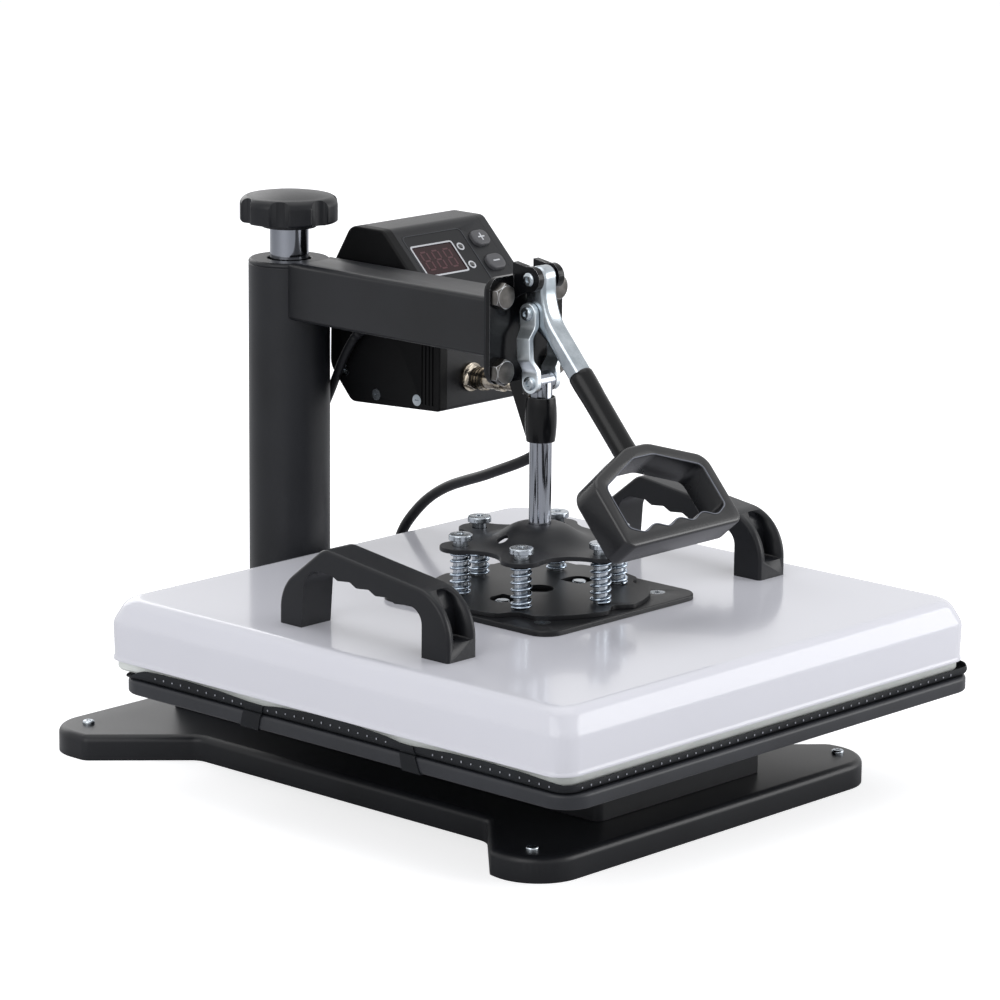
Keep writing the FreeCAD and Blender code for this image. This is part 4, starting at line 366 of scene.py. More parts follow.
def soften(thing, width, segments=2, angle=35.0, rim=None):
    """Small rounded edges, so that corners catch the light; a rim finish paints a highlight on their bevel
    faces.
    """
    rounder = thing.modifiers.new("edges", "BEVEL")
    rounder.width = width
    rounder.segments = segments
    rounder.limit_method = "ANGLE"
    rounder.angle_limit = math.radians(angle)
    rounder.harden_normals = False
    if rim:
        thing.data.materials.append(finishes[rim])
        rounder.material = 1
    return thing


def dressed(node, finish=None, edge=0.0, rim=None):
    """Copy of a CAD node with merged faces, smooth curves and broken edges, in its place."""
    shape = bmesh.new()
    shape.from_mesh(nodes[node].data)
    for layer in list(shape.loops.layers.uv):
        shape.loops.layers.uv.remove(layer)
    bmesh.ops.remove_doubles(shape, verts=shape.verts, dist=2e-6)
    bmesh.ops.dissolve_limit(shape, angle_limit=math.radians(0.5), verts=shape.verts, edges=shape.edges)
    slot = SLOT_OF[node]
    thing = piece(node + "_made", shape, BODY_OF[node], finish or FINISH_OF_SLOT[slot], 35.0, (node,))
    if edge:
        soften(thing, edge, rim=rim)


def bevel(shape, geom, width, segments, affect="EDGES"):
    bmesh.ops.bevel(shape, geom=geom, offset=width, affect=affect, segments=segments, profile=0.5,
                    material=-1)


def sharp_edges(shape, angle):
    return [e for e in shape.edges if e.calc_face_angle(0.0) > math.radians(angle)]


def verts_in(geom):
    return [item for item in geom if isinstance(item, bmesh.types.BMVert)]


def outward(shape):
    """Turns all normals outwards."""
    bmesh.ops.recalc_face_normals(shape, faces=shape.faces)
    return shape


def face_up(shape):
    """Turns the normals of an open sheet so that its largest face looks up."""
    outward(shape)
    if max(shape.faces, key=lambda f: f.calc_area()).normal.z < 0:
        bmesh.ops.reverse_faces(shape, faces=shape.faces)
    return shape


def drawn_out(shape, vec):
    """Closed body of a flat shape and its copy at a distance."""
    grown = bmesh.ops.extrude_face_region(shape, geom=shape.faces[:])["geom"]
    bmesh.ops.translate(shape, vec=vec, verts=verts_in(grown))
    return outward(shape)


def grow_edges(shape, edges):
    """Extrudes edges; gives the new verts and the new edges among them."""
    grown = bmesh.ops.extrude_edge_only(shape, edges=edges)["geom"]
    fresh = verts_in(grown)
    return fresh, [item for item in grown if isinstance(item, bmesh.types.BMEdge)
                   and all(vert in fresh for vert in item.verts)]


# Cords

LEAD_D, LEAD_R = 0.0062, 0.0031
HEATER_D, HEATER_R = 0.0076, 0.0038
CORD_ORDER = 3

LEAD_TOP = [mm(*p) for p in (
    (24.4, 176.6, 286.8), (24.4, 190.5, 285.0), (24.2, 203.5, 269.5), (24.6, 214.4, 250.0),
    (30.0, 226.0, 235.2), (35.0, 239.0, 219.0), (38.5, 253.0, 199.0), (39.5, 267.0, 172.0),
    (36.5, 278.0, 139.0), (33.0, 286.0, 106.0), (31.0, 292.0, 75.0), (34.5, 298.5, 46.0),
    (38.75, 302.75, 34.5))]
LEAD_DROP = [mm(*p) for p in (
    (38.75, 302.75, 34.5), (43.0, 307.0, 23.0), (54.0, 317.5, 9.0), (63.0, 330.0, 3.9), (66.8, 345.0, 3.2))]
LEAD_TO_PLUG = [mm(*p) for p in (
    (71.4, 380.0, 15.8), (84.6, 393.2, 15.9), (102.6, 398.0, 15.9), (120.6, 393.2, 15.9),
    (133.0, 379.6, 15.9), (144.0, 366.5, 16.2), (153.5, 362.6, 16.2), (163.5, 362.0, 12.0),
    (174.0, 362.0, 8.0))]
HEATER_ROUTE = [mm(*p) for p in (
    (61.0, 75.0, 254.6), (61.0, 61.5, 254.6), (61.0, 49.5, 246.0), (60.5, 45.5, 231.5),
    (60.5, 50.0, 217.0), (62.0, 63.0, 207.0), (65.0, 81.0, 198.5), (69.0, 101.0, 190.5),
    (74.0, 122.0, 182.0), (79.0, 143.5, 174.5), (83.5, 165.5, 166.0), (87.5, 187.5, 153.5),
    (88.75, 196.25, 145.75))]
HEATER_END = [mm(*p) for p in (
    (88.75, 196.25, 145.75), (90.0, 205.0, 138.0), (91.0, 215.0, 126.0), (91.5, 220.5, 114.0),
    (91.5, 220.5, 105.5))]

COIL_CENTRE = mm(110.5, 362.0, 3.2)
COIL_LANES = (42.7 * MM, 36.5 * MM, 30.3 * MM)
COIL_TO_START = mm(67.0, 354.0, 3.2)
COIL_STEPS, COIL_TURNS = 16, 6
LANE_SHIFT_FROM, LANE_SHIFT_TO = 300.0, 360.0
CLIMB_FROM, CLIMB_TO = 240.0, 300.0


def ease(value, start, end):
    """0 before start, 1 after end, smooth between."""
    t = min(1.0, max(0.0, (value - start) / (end - start)))
    return t * t * (3.0 - 2.0 * t)


def coil_points():
    """Six turns: three lanes inwards on the floor, then three outwards on top of them."""
    lanes = COIL_LANES + COIL_LANES[::-1]
    reach = 1.0 / math.cos(math.pi / COIL_STEPS)
    spots = []
    for step in range(1, COIL_STEPS * COIL_TURNS + 1):
        turned = step * 360.0 / COIL_STEPS
        turn = min(int(turned // 360.0), COIL_TURNS - 1)
        within = turned - 360.0 * turn
        following = lanes[min(turn + 1, COIL_TURNS - 1)]
        radius = lanes[turn] + (following - lanes[turn]) * ease(within, LANE_SHIFT_FROM, LANE_SHIFT_TO)
        layer = (turn > 2) + (turn in (2, 5)) * ease(within, CLIMB_FROM, CLIMB_TO)
        angle = math.radians(180.0 - turned)
        spots.append(COIL_CENTRE + Vector((math.cos(angle), math.sin(angle), 0)) * radius * reach
                     + Z * LEAD_D * layer)
    return spots


def cord_curve(points, radius=0.0):
    """Smooth spline with the route's points as its control points."""
    curve = bpy.data.curves.new("cord", "CURVE")
    curve.dimensions = "3D"
    curve.resolution_u = 10
    spline = curve.splines.new("NURBS")
    spline.points.add(len(points) - 1)
    for spot, place in zip(spline.points, points):
        spot.co = (*place, 1.0)
    spline.order_u = CORD_ORDER
    spline.use_endpoint_u = True
    curve.bevel_depth = radius
    curve.bevel_resolution = 4
    curve.use_fill_caps = radius > 0
    return curve


def curve_mesh(curve):
    thing = put("cord", curve)
    bpy.context.view_layer.update()
    mesh = bpy.data.meshes.new_from_object(thing)
    bpy.data.objects.remove(thing)
    bpy.data.curves.remove(curve)
    return mesh


def centre_line(points):
    """The spline's own points, from one end to the other."""
    mesh = curve_mesh(cord_curve(points))
    line = [vert.co.copy() for vert in mesh.vertices]
    bpy.data.meshes.remove(mesh)
    return line


def cord_tube(points, radius):
    shape = bmesh.new()
    mesh = curve_mesh(cord_curve(points, radius))
    shape.from_mesh(mesh)
    bpy.data.meshes.remove(mesh)
    bmesh.ops.remove_doubles(shape, verts=shape.verts, dist=1e-6)
    return outward(shape)


def frames_along(line, distances):
    """Places and directions on a line, at distances from its start."""
    frames = []
    walked, i = 0.0, 0
    for distance in distances:
        while i < len(line) - 2 and walked + (line[i + 1] - line[i]).length < distance:
            walked += (line[i + 1] - line[i]).length
            i += 1
        step = line[i + 1] - line[i]
        at = line[i] + step.normalized() * (distance - walked)
        turn = step.to_track_quat("Z", "Y").to_matrix().to_4x4()
        frames.append(Matrix.Translation(at) @ turn)
    return frames


def sleeve_on(line, profile, sides=24):
    """Round sleeve that follows a line; its profile gives distance and radius."""
    shape = bmesh.new()
    along = frames_along(line, [distance for distance, _ in profile])
    places = [place @ Matrix.Scale(radius, 4) for place, (_, radius) in zip(along, profile)]
    bmesh.ops.create_circle(shape, cap_ends=True, radius=1.0, segments=sides, matrix=places[0])
    rim = shape.edges[:]
    for before, now in zip(places, places[1:]):
        fresh, rim = grow_edges(shape, rim)
        bmesh.ops.transform(shape, matrix=now @ before.inverted(), verts=fresh)
    bmesh.ops.edgeloop_fill(shape, edges=rim)
    return outward(shape)


RIB_PROFILE = ((0.0, 1.0), (0.16, 0.86), (0.42, 0.86), (0.58, 1.0))


def ribbed(start, length, thick, thin, ribs):
    """Profile of a tapered strain relief with grooves between its ribs."""
    profile = [(start, thick)]
    for i in range(ribs):
        here = start + length * (i + 0.25) / ribs
        wide = thick + (thin - thick) * (i + 0.5) / ribs
        for along, share in RIB_PROFILE:
            profile.append((here + along * length / ribs, wide * share))
    profile.append((start + length, thin))
    return profile


def cord_piece(name, points, radius, stands_for):
    """Length of cord along a route from start to end, riding on no body."""
    thing = piece(name, cord_tube(points, radius), None, "cable_rubber", 60, stands_for)
    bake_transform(thing)
    return thing


lead_top_line = centre_line(LEAD_TOP)
lead_rest_points = LEAD_DROP + [COIL_TO_START] + coil_points() + LEAD_TO_PLUG
lead_rest_line = centre_line(lead_rest_points)
lead_top = cord_piece("mains_lead_upper", LEAD_TOP, LEAD_R, ("power_cable",))
lead_rest = cord_piece("mains_lead_lower", lead_rest_points, LEAD_R, ("cord_coil",))
gland_relief = piece("lead_strain_relief", sleeve_on(lead_top_line, ribbed(-0.001, 0.026, 0.0048, 0.0034, 5)),
                     "arm", "cable_rubber", 40)
plug_relief = piece("plug_strain_relief",
                    sleeve_on(lead_rest_line[::-1], ribbed(0.0005, 0.024, 0.0054, 0.0035, 5)),
                    "base", "cable_rubber", 40)

heater_line, heater_end_line = centre_line(HEATER_ROUTE), centre_line(HEATER_END)
heater_lead = cord_piece("heater_lead", HEATER_ROUTE, HEATER_R, ("heater_cable",))
heater_end = cord_piece("heater_lead_end", HEATER_END, HEATER_R, ())

PLUG_X0, PLUG_X1, PLUG_Y, PLUG_TOP = 172.8 * MM, 206.8 * MM, 362.0 * MM, 22.0 * MM
PLUG_FOOT, PLUG_HALF_Y, PLUG_ROUND = 0.1 * MM, 14 * MM, 2.6 * MM
PLUG_LEVEL, NARROWER, FLATTER = 8 * MM, 0.42, 0.35
BLADE_OFFSET, BLADE_HALF, BLADE_FOOT, BLADE_TOP = 6.5 * MM, 3 * MM, 10.2 * MM, 11.8 * MM
EARTH_Z, EARTH_PROFILE = 5.2 * MM, ((0.0, 2.4 * MM), (18.5 * MM, 2.4 * MM), (20.6 * MM, 1.2 * MM))


def bar(x0, x1, y0, y1, z0, z1, edge=0.0, segments=3):
    """Box between two corners, with its edges rounded."""
    shape = bmesh.new()
    size = Vector((x1 - x0, y1 - y0, z1 - z0))
    centre = Vector((x0 + x1, y0 + y1, z0 + z1)) / 2
    bmesh.ops.create_cube(shape, size=1.0, matrix=Matrix.Translation(centre) @ Matrix.Diagonal((*size, 1.0)))
    if edge:
        bevel(shape, shape.edges[:], edge, segments)
    return shape


def joined(*shapes):
    """One bmesh of several closed ones."""
    whole = shapes[0]
    for shape in shapes[1:]:
        mesh = mesh_of(shape, "part")
        whole.from_mesh(mesh)
        bpy.data.meshes.remove(mesh)
    return whole


def mains_plug_body():
    """Moulded body that narrows and flattens towards its lead."""
    shape = bar(PLUG_X0, PLUG_X1, PLUG_Y - PLUG_HALF_Y, PLUG_Y + PLUG_HALF_Y, PLUG_FOOT, PLUG_TOP)
    long_edges = [e for e in shape.edges if abs(e.verts[0].co.x - e.verts[1].co.x) > 1 * MM]
    bmesh.ops.subdivide_edges(shape, edges=long_edges, cuts=7, use_grid_fill=True)
    for vert in shape.verts:
        back = (PLUG_X1 - vert.co.x) / (PLUG_X1 - PLUG_X0)
        vert.co.y = PLUG_Y + (vert.co.y - PLUG_Y) * (1.0 - NARROWER * ease(back, 0.25, 1.0))
        vert.co.z = PLUG_LEVEL + (vert.co.z - PLUG_LEVEL) * (1.0 - FLATTER * ease(back, 0.35, 1.0))
    bevel(shape, sharp_edges(shape, 40), PLUG_ROUND, 4)
    return shape


plug_body = piece("mains_plug_body", mains_plug_body(), "base", "cable_rubber", 50,
                  ("mains_plug",))
blades = [bar(PLUG_X1 - 1 * MM, PLUG_X1 + 18 * MM, y - BLADE_HALF, y + BLADE_HALF, BLADE_FOOT, BLADE_TOP,
              0.5 * MM) for y in (PLUG_Y - BLADE_OFFSET, PLUG_Y + BLADE_OFFSET)]
earth_line = [Vector((PLUG_X1 + reach * MM, PLUG_Y, EARTH_Z)) for reach in (-1, 21)]
plug_pins = piece("mains_plug_pins", joined(*blades, sleeve_on(earth_line, EARTH_PROFILE)), "base",
                  "nickel_plate", 40)


# White cover

def corner_box(node):
    low_corner, high_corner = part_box(node)
    return Vector(low_corner), Vector(high_corner)


cover_low, cover_high = corner_box("cover")
COVER_HALF_X, COVER_HALF_Y = cover_high.x, cover_high.y
COVER_RIM, COVER_TOP = cover_low.z, cover_high.z
COVER_CORNER = 15 * MM
COVER_WALL = 2 * MM
COVER_FOLD_Z = COVER_TOP - 15.5 * MM
COVER_BEVEL_IN = 7 * MM
LOW_FOLD_R, HIGH_FOLD_R = 14 * MM, 9 * MM
LOW_FOLD_STEPS, HIGH_FOLD_STEPS = 4, 8
RIM_ROLL = ((0.5 * MM, 92.0 * MM), (0.5 * MM, 90.4 * MM), (0.1 * MM, 89.8 * MM), (0.0, 89.2 * MM))


def rounded_sheet(low, high, corner, z, segments=12, cuts=0):
    """Flat sheet with round corners; cuts divide its four straight sides."""
    shape = bmesh.new()
    middle = Vector(((low[0] + high[0]) / 2, (low[1] + high[1]) / 2, z))
    half = ((high[0] - low[0]) / 2, (high[1] - low[1]) / 2, 1.0, 1.0)
    bmesh.ops.create_grid(shape, x_segments=1, y_segments=1, size=1.0,
                          matrix=Matrix.Translation(middle) @ Matrix.Diagonal(half))
    bevel(shape, shape.verts[:], corner, segments, "VERTICES")
    if cuts:
        sides = [e for e in shape.edges if e.calc_length() > 4 * corner]
        bmesh.ops.subdivide_edges(shape, edges=sides, cuts=cuts)
    return shape


def grow_rim(shape, rim, centre, before, after, dz):
    """Extrudes a closed rim; before and after are its half sizes, dz its rise."""
    fresh, rim = grow_edges(shape, rim)
    wider = Matrix.Diagonal((after[0] / before[0], after[1] / before[1], 1.0, 1.0))
    there = Matrix.Translation(centre)
    bmesh.ops.transform(shape, matrix=Matrix.Translation((0, 0, dz)) @ there @ wider @ there.inverted(),
                        verts=fresh)
    return rim


def cover_levels():
    """(inset, height) from the flat top down to the rim, round two soft folds."""
    lean = math.atan2(COVER_BEVEL_IN, COVER_TOP - COVER_FOLD_Z)
    top_reach = HIGH_FOLD_R * math.tan((math.pi / 2 - lean) / 2)
    low_reach = LOW_FOLD_R * math.tan(lean / 2)
    levels = []
    for i in range(HIGH_FOLD_STEPS + 1):
        bend = (math.pi / 2 - lean) * i / HIGH_FOLD_STEPS
        levels.append((COVER_BEVEL_IN + top_reach - HIGH_FOLD_R * math.sin(bend),
                       COVER_TOP - HIGH_FOLD_R * (1 - math.cos(bend))))
    for i in range(LOW_FOLD_STEPS, -1, -1):
        bend = lean * i / LOW_FOLD_STEPS
        levels.append((LOW_FOLD_R * (1 - math.cos(bend)),
                       COVER_FOLD_Z - low_reach + LOW_FOLD_R * math.sin(bend)))
    return levels + [*RIM_ROLL, (0.0, COVER_RIM)]


def stepped_sheet(middle, full, corner, levels):
    """Sheet with round corners that goes down and out by levels of (inset, height)."""
    inset, height = levels[0]
    half = (full[0] - inset, full[1] - inset)
    shape = rounded_sheet((middle.x - half[0], middle.y - half[1]),
                          (middle.x + half[0], middle.y + half[1]), corner, height)
    rim = [e for e in shape.edges if e.is_boundary]
    for inset, next_height in levels[1:]:
        after = (full[0] - inset, full[1] - inset)
        rim = grow_rim(shape, rim, middle, half, after, next_height - height)
        half, height = after, next_height
    return shape


def cover_shell():
    shape = stepped_sheet(Vector((0, 0, 0)), (COVER_HALF_X, COVER_HALF_Y), COVER_CORNER, cover_levels())
    top = [f for f in shape.faces if len(f.verts) > 8]
    bmesh.ops.inset_region(shape, faces=top, thickness=3 * MM, use_even_offset=True)
    return face_up(shape)


def thicken(thing, thickness):
    """Gives an open sheet its thickness, inwards."""
    wall = thing.modifiers.new("wall", "SOLIDIFY")
    wall.thickness = thickness
    wall.offset = -1.0


cover = piece("cover_sheet", cover_shell(), "platen", "cover_enamel", 40, ("cover",))
thicken(cover, COVER_WALL)
soften(cover, 0.4 * MM, 2, 60)


# Pad, its cloth sleeve and the straps

pad_low, pad_high = corner_box("silicone_pad")
sleeve_low, sleeve_high = corner_box("pad_sleeve")
bed_low, bed_high = corner_box("bed_plate")
strap_high = corner_box("pad_straps")[1]
BED_TOP = bed_high.z
LIP_X = bed_high.x - 0.9 * MM
LIP_FRONT, LIP_REAR = bed_low.y + 2.6 * MM, bed_high.y - 2.0 * MM
LIP_FOOT = BED_TOP + 0.45 * MM
HEM_T = 0.7 * MM
STRAP_THICK, CLOTH_THICK = 1.0 * MM, 0.45 * MM
STRAP_TOPS = ((53.7, 69.5), (-81.1, -68.9))
STRAP_FEET = ((57.5, 74.3), (-88.2, -72.5))
STRAP_SLANT_TOP, STRAP_SLANT_DEPTH = 84.2, 17.0


def pad_core():
    """Foam pad: flat sheet with round corners."""
    return drawn_out(rounded_sheet(pad_low, pad_high, 8 * MM, pad_low.z), Z * (pad_high.z - pad_low.z))


pad = piece("pad_foam", pad_core(), "base", "silicone_foam", 40, ("silicone_pad",))
soften(pad, 0.5 * MM, 2)


# How the cloth drops round the pad, in millimetres: (distance from its edge, drop)
SLEEVE_LEVELS = ((5.4, 0.0), (4.6, 0.15), (4.0, 0.55), (3.4, 1.1), (2.6, 1.5), (0.1, 1.62))


def sleeve_sheet():
    """Cloth drawn flat over the pad and down to the bed round it."""
    full = ((sleeve_high.x - sleeve_low.x) / 2, (sleeve_high.y - sleeve_low.y) / 2)
    levels = [(inset * MM, sleeve_high.z - drop * MM) for inset, drop in SLEEVE_LEVELS]
    return face_up(stepped_sheet((sleeve_low + sleeve_high) / 2, full, 10 * MM, levels))


sleeve = piece("pad_sleeve_cloth", sleeve_sheet(), "base", "coated_cloth", 50, ("pad_sleeve",))
thicken(sleeve, CLOTH_THICK)


# Upright hem, in millimetres: rise at the front and at the straps; bows between them, each with
# its ends in y, how much it rises and how blunt it is; where it flattens towards the rear
FRONT_RISE, FRONT_DEPTH, STRAP_RISE = 4.6, 6.0, 4.9
HEM_BOWS = ((-205.0, STRAP_TOPS[1][0], 2.6, 0.8), (STRAP_TOPS[1][1], STRAP_TOPS[0][0], 3.7, 0.7),
            (STRAP_TOPS[0][1], 190.0, 2.6, 0.8))
HEM_FALLS_FROM, HEM_FLAT_FROM, HEM_LEAST = 168.0, 186.0, 1.0


def lip_height(at):
    """Top of the upright hem: bowed between the straps, low at them, flat at the rear."""
    y = at.y / MM
    start, end, bow, blunt = HEM_BOWS[(y >= STRAP_TOPS[1][0]) + (y >= STRAP_TOPS[0][1])]
    if at.y < LIP_FRONT + FRONT_DEPTH * MM:
        rise = FRONT_RISE
    else:
        t = min(1.0, max(0.0, (y - start) / (end - start)))
        rise = STRAP_RISE + bow * math.sin(math.pi * t) ** blunt
    ripple = 0.12 * math.sin(y * 0.21) + 0.10 * math.sin(at.x / MM * 0.17 + 1.0)
    upright = 1.0 - ease(y, HEM_FALLS_FROM, HEM_FLAT_FROM)
    return LIP_FOOT + (rise + ripple) * MM * upright + HEM_LEAST * MM


# The hem's section: (distance from its outer face in millimetres, share of its height)
LIP_LEVELS = ((2.4, 0.0), (0.9, 0.12), (0.3, 0.3), (0.0, 0.5), (0.1, 0.75), (0.35, 1.0))
LIP_FLAT = 9.0 * MM


def lip_ring():
    """Hem of the sleeve: flat on the bed's border, then turned up outside the platen."""
    low, high = Vector((-LIP_X, LIP_FRONT, 0)), Vector((LIP_X, LIP_REAR, 0))
    middle = (low + high) / 2
    full = ((high.x - low.x) / 2, (high.y - low.y) / 2)
    half = (full[0] - LIP_FLAT, full[1] - LIP_FLAT)
    shape = rounded_sheet((middle.x - half[0], middle.y - half[1]), (middle.x + half[0], middle.y + half[1]),
                          11 * MM, LIP_FOOT, segments=10, cuts=60)
    bmesh.ops.delete(shape, geom=shape.faces[:], context="FACES_ONLY")
    rim = shape.edges[:]
    rims = []
    for inset, _ in LIP_LEVELS:
        after = (full[0] - inset * MM, full[1] - inset * MM)
        rim = grow_rim(shape, rim, middle, half, after, 0.0)
        rims.append({vert for e in rim for vert in e.verts})
        half = after
    for (_, share), verts in zip(LIP_LEVELS, rims):
        for vert in verts:
            vert.co.z = LIP_FOOT + (lip_height(vert.co) - LIP_FOOT) * share
    return clothed(shape, HEM_T)


def clothed(shape, thickness):
    """Gives a sheet its thickness, with both sides facing out."""
    bmesh.ops.solidify(outward(shape), geom=shape.faces[:], thickness=thickness)
    return outward(shape)


def crumples(thing):
    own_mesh(thing)


lip = piece("sleeve_hem", lip_ring(), "base", "coated_cloth", 60)
crumples(lip)


STITCH_PITCH, STITCH_FROM, STITCH_TO = 8.2 * MM, 14 * MM, 22 * MM
STITCH_HALF, STITCH_WIDE, STITCH_OUT = 0.25 * MM, 0.45 * MM, 0.4 * MM
STRAP_GAP, STITCH_SHARE = 4, 0.56


def stitches():
    """Short upright stitches along the hem's outer face."""
    spots = []
    sides = [LIP_FRONT + STITCH_FROM + i * STITCH_PITCH
             for i in range(int((LIP_REAR - STITCH_TO - LIP_FRONT - STITCH_FROM) / STITCH_PITCH))]
    for side in (-1, 1):
        for y in sides:
            if not any(feet[0] - STRAP_GAP < y / MM < tops[1] + STRAP_GAP
                       for tops, feet in zip(STRAP_TOPS, STRAP_FEET)):
                spots.append((Vector((side * LIP_X, y, 0)), X * side, STITCH_HALF, STITCH_WIDE))
    for i in range(int((2 * LIP_X - 24 * MM) / STITCH_PITCH)):
        at = Vector((-LIP_X + STITCH_FROM + i * STITCH_PITCH, LIP_FRONT, 0))
        spots.append((at, Vector((0, -1, 0)), STITCH_WIDE, STITCH_HALF))
    marks = []
    for i, (at, out, wide, deep) in enumerate(spots):
        middle = at + out * STITCH_OUT + Z * (LIP_FOOT + (lip_height(at) - LIP_FOOT) * STITCH_SHARE)
        tall = (0.62 + 0.12 * math.sin(i * 2.3)) * MM
        marks.append(bar(middle.x - wide, middle.x + wide, middle.y - deep, middle.y + deep,
                         middle.z - tall, middle.z + tall, 0.2 * MM, 1))
    return joined(*marks)


seam = piece("sleeve_stitches", stitches(), "base", "pale_thread", 40)
crumples(seam)


def ribbon(path, near, far, thickness, side):
    """Webbing along (x, z) points, near and far being its two edges' y at each point."""
    shape = bmesh.new()
    x, z = path[0]
    edges = [shape.edges.new([shape.verts.new((side * x, y, z)) for y in (near[0], far[0])])]
    for (x, z), y_near, y_far in zip(path[1:], near[1:], far[1:]):
        fresh, edges = grow_edges(shape, edges)
        for vert, y in zip(sorted(fresh, key=lambda v: v.co.y), (y_near, y_far)):
            vert.co = (side * x, y, z)
    lengthwise = [e for e in shape.edges if len({round(v.co.z, 6) for v in e.verts}) == 1]
    bmesh.ops.subdivide_edges(shape, edges=lengthwise, cuts=3)
    return clothed(shape, thickness)


def strap_edges(i, heights):
    """The strap's two edges at given heights, slanting from its top to its foot."""
    slant = [min(1.0, (STRAP_SLANT_TOP - z / MM) / STRAP_SLANT_DEPTH) for z in heights]
    return [[(top + (foot - top) * share) * MM for share in slant]
            for top, foot in zip(STRAP_TOPS[i], STRAP_FEET[i])]


STRAP_OUT = strap_high.x
strap_upper = [(LIP_X + dx * MM, BED_TOP + dz * MM) for dx, dz in (
    (-1.2, 0.7), (0.3, 1.2), (0.9, 3.0), (1.0, 5.2), (0.5, 6.2), (-0.5, 6.3))]
strap_lower = [(x + dx * MM, z + dz * MM) for x, dx, z, dz in (
    (LIP_X, 0.4, BED_TOP, 0.75), (STRAP_OUT, -0.55, BED_TOP, 0.1), (STRAP_OUT, -0.35, BED_TOP, -1.5),
    (STRAP_OUT, -0.4, BED_TOP, -6.0), (STRAP_OUT, -0.5, bed_low.z, -0.4), (STRAP_OUT, -1.4, bed_low.z, -0.75),
    (STRAP_OUT, -9.0, bed_low.z, -0.75), (STRAP_OUT, -16.4, bed_low.z, -0.75))]


def straps(path):
    parts = []
    for i in range(len(STRAP_TOPS)):
        near, far = strap_edges(i, [z for _, z in path])
        parts += [ribbon(path, near, far, STRAP_THICK, side) for side in (-1, 1)]
    return joined(*parts)


strap_tops = piece("strap_loops", straps(strap_upper), "base", "strap_webbing", 50)
crumples(strap_tops)
piece("strap_ends", straps(strap_lower), "base", "strap_webbing", 50, ("pad_straps",))


# Compression springs round the shoulder bolts

spring_low, spring_high = corner_box("coil_springs")
BOLT_CIRCLE = 55.0 * MM
SPRING_MEAN, SPRING_WIRE = 6.5 * MM, 0.9 * MM
SPRING_COILS, SPRING_STEPS, CLOSED_TURNS = 7, 12, 0.9


def spring_rise(turn):
    """Rise of the wire at a turn: closed end coils, open ones between."""
    closed_rise = 2 * SPRING_WIRE * CLOSED_TURNS
    height = spring_high.z - spring_low.z - 2 * SPRING_WIRE
    if turn < CLOSED_TURNS:
        return 2 * SPRING_WIRE * turn
    if turn > SPRING_COILS - CLOSED_TURNS:
        return height - 2 * SPRING_WIRE * (SPRING_COILS - turn)
    open_turns = SPRING_COILS - 2 * CLOSED_TURNS
    return closed_rise + (height - 2 * closed_rise) * (turn - CLOSED_TURNS) / open_turns


def spring(at, start):
    spots = []
    for step in range(SPRING_COILS * SPRING_STEPS + 1):
        turn = step / SPRING_STEPS
        angle = start + 2 * math.pi * turn
        spots.append(at + Vector((math.cos(angle), math.sin(angle), 0)) * SPRING_MEAN
                     + Z * (SPRING_WIRE + spring_rise(turn)))
    return cord_tube(spots, SPRING_WIRE)


coils = []
for i in range(6):
    around = math.radians(30 + 60 * i)
    foot = Vector((math.cos(around) * BOLT_CIRCLE, math.sin(around) * BOLT_CIRCLE, spring_low.z))
    coils.append(spring(foot, 0.9 * i))
springs = piece("compression_springs", joined(*coils), None, "spring_zinc", 60,
                ("coil_springs",))
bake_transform(springs)


# Hand lever, its sleeve and the front hand loop

LEVER_DROP = math.radians(48.6)
ALONG_LEVER = Vector((0, -math.cos(LEVER_DROP), -math.sin(LEVER_DROP)))
ACROSS_LEVER = Vector((0, -ALONG_LEVER.z, ALONG_LEVER.y))
LEVER_NORMAL = X.cross(ALONG_LEVER).normalized()
LEVER_BEND = mm(0, 1.0, 326.66)
LEVER_HALF, LEVER_BAR_HALF, LEVER_REACH = 7 * MM, 6 * MM, 62 * MM
# Side view in millimetres: y, z and rounding of each corner
LEVER_HEAD = ((-8.1, 355.1, 7.9), (8.1, 355.1, 7.9), (9.6, 319.5, 3), (5.0, 315.4, 3), (-9.0, 306.2, 3))
LEVER_NECK = (-7.3, 326.3, 14)
SLEEVE_FOOT = LEVER_BEND + ALONG_LEVER * 52.5 * MM
SLEEVE_LENGTH = 63.3 * MM
LOOP_HALF_W, LOOP_ROOF, LOOP_FOOT, LOOP_WALL, LOOP_DEPTH = 56.5 * MM, 18 * MM, 69.5 * MM, 9.5 * MM, 23 * MM
LOOP_TOP_HALF, ROOF_SLOPE, NEAR = 11 * MM, 0.39, 3 * MM
FINGER_PITCH, FINGER_DEPTH, FINGER_STEPS = 23.5, 1.8, 36


def outline(shape, corners, place):
    """Closed loop of edges; each corner has two coordinates and its rounding."""
    verts = [shape.verts.new(place(a, b)) for a, b, _ in corners]
    for i in range(len(verts)):
        shape.edges.new((verts[i - 1], verts[i]))
    return verts


def round_corners(shape, verts, corners, segments):
    for vert, (_, _, rounding) in zip(verts, corners):
        if rounding:
            bevel(shape, [vert], rounding, segments, "VERTICES")


def cut_out(corners, place, depth, segments=8):
    """Flat piece of one outline with rounded corners, given its depth."""
    shape = bmesh.new()
    verts = outline(shape, corners, place)
    shape.faces.new(verts)
    round_corners(shape, verts, corners, segments)
    return drawn_out(shape, depth)


def between_outlines(outlines, place, segments):
    """Flat faces between an outer and an inner outline, both with rounded corners."""
    shape = bmesh.new()
    for corners in outlines:
        round_corners(shape, outline(shape, corners, place), corners, segments)
    bmesh.ops.triangle_fill(shape, edges=shape.edges[:], use_beauty=True)
    return shape


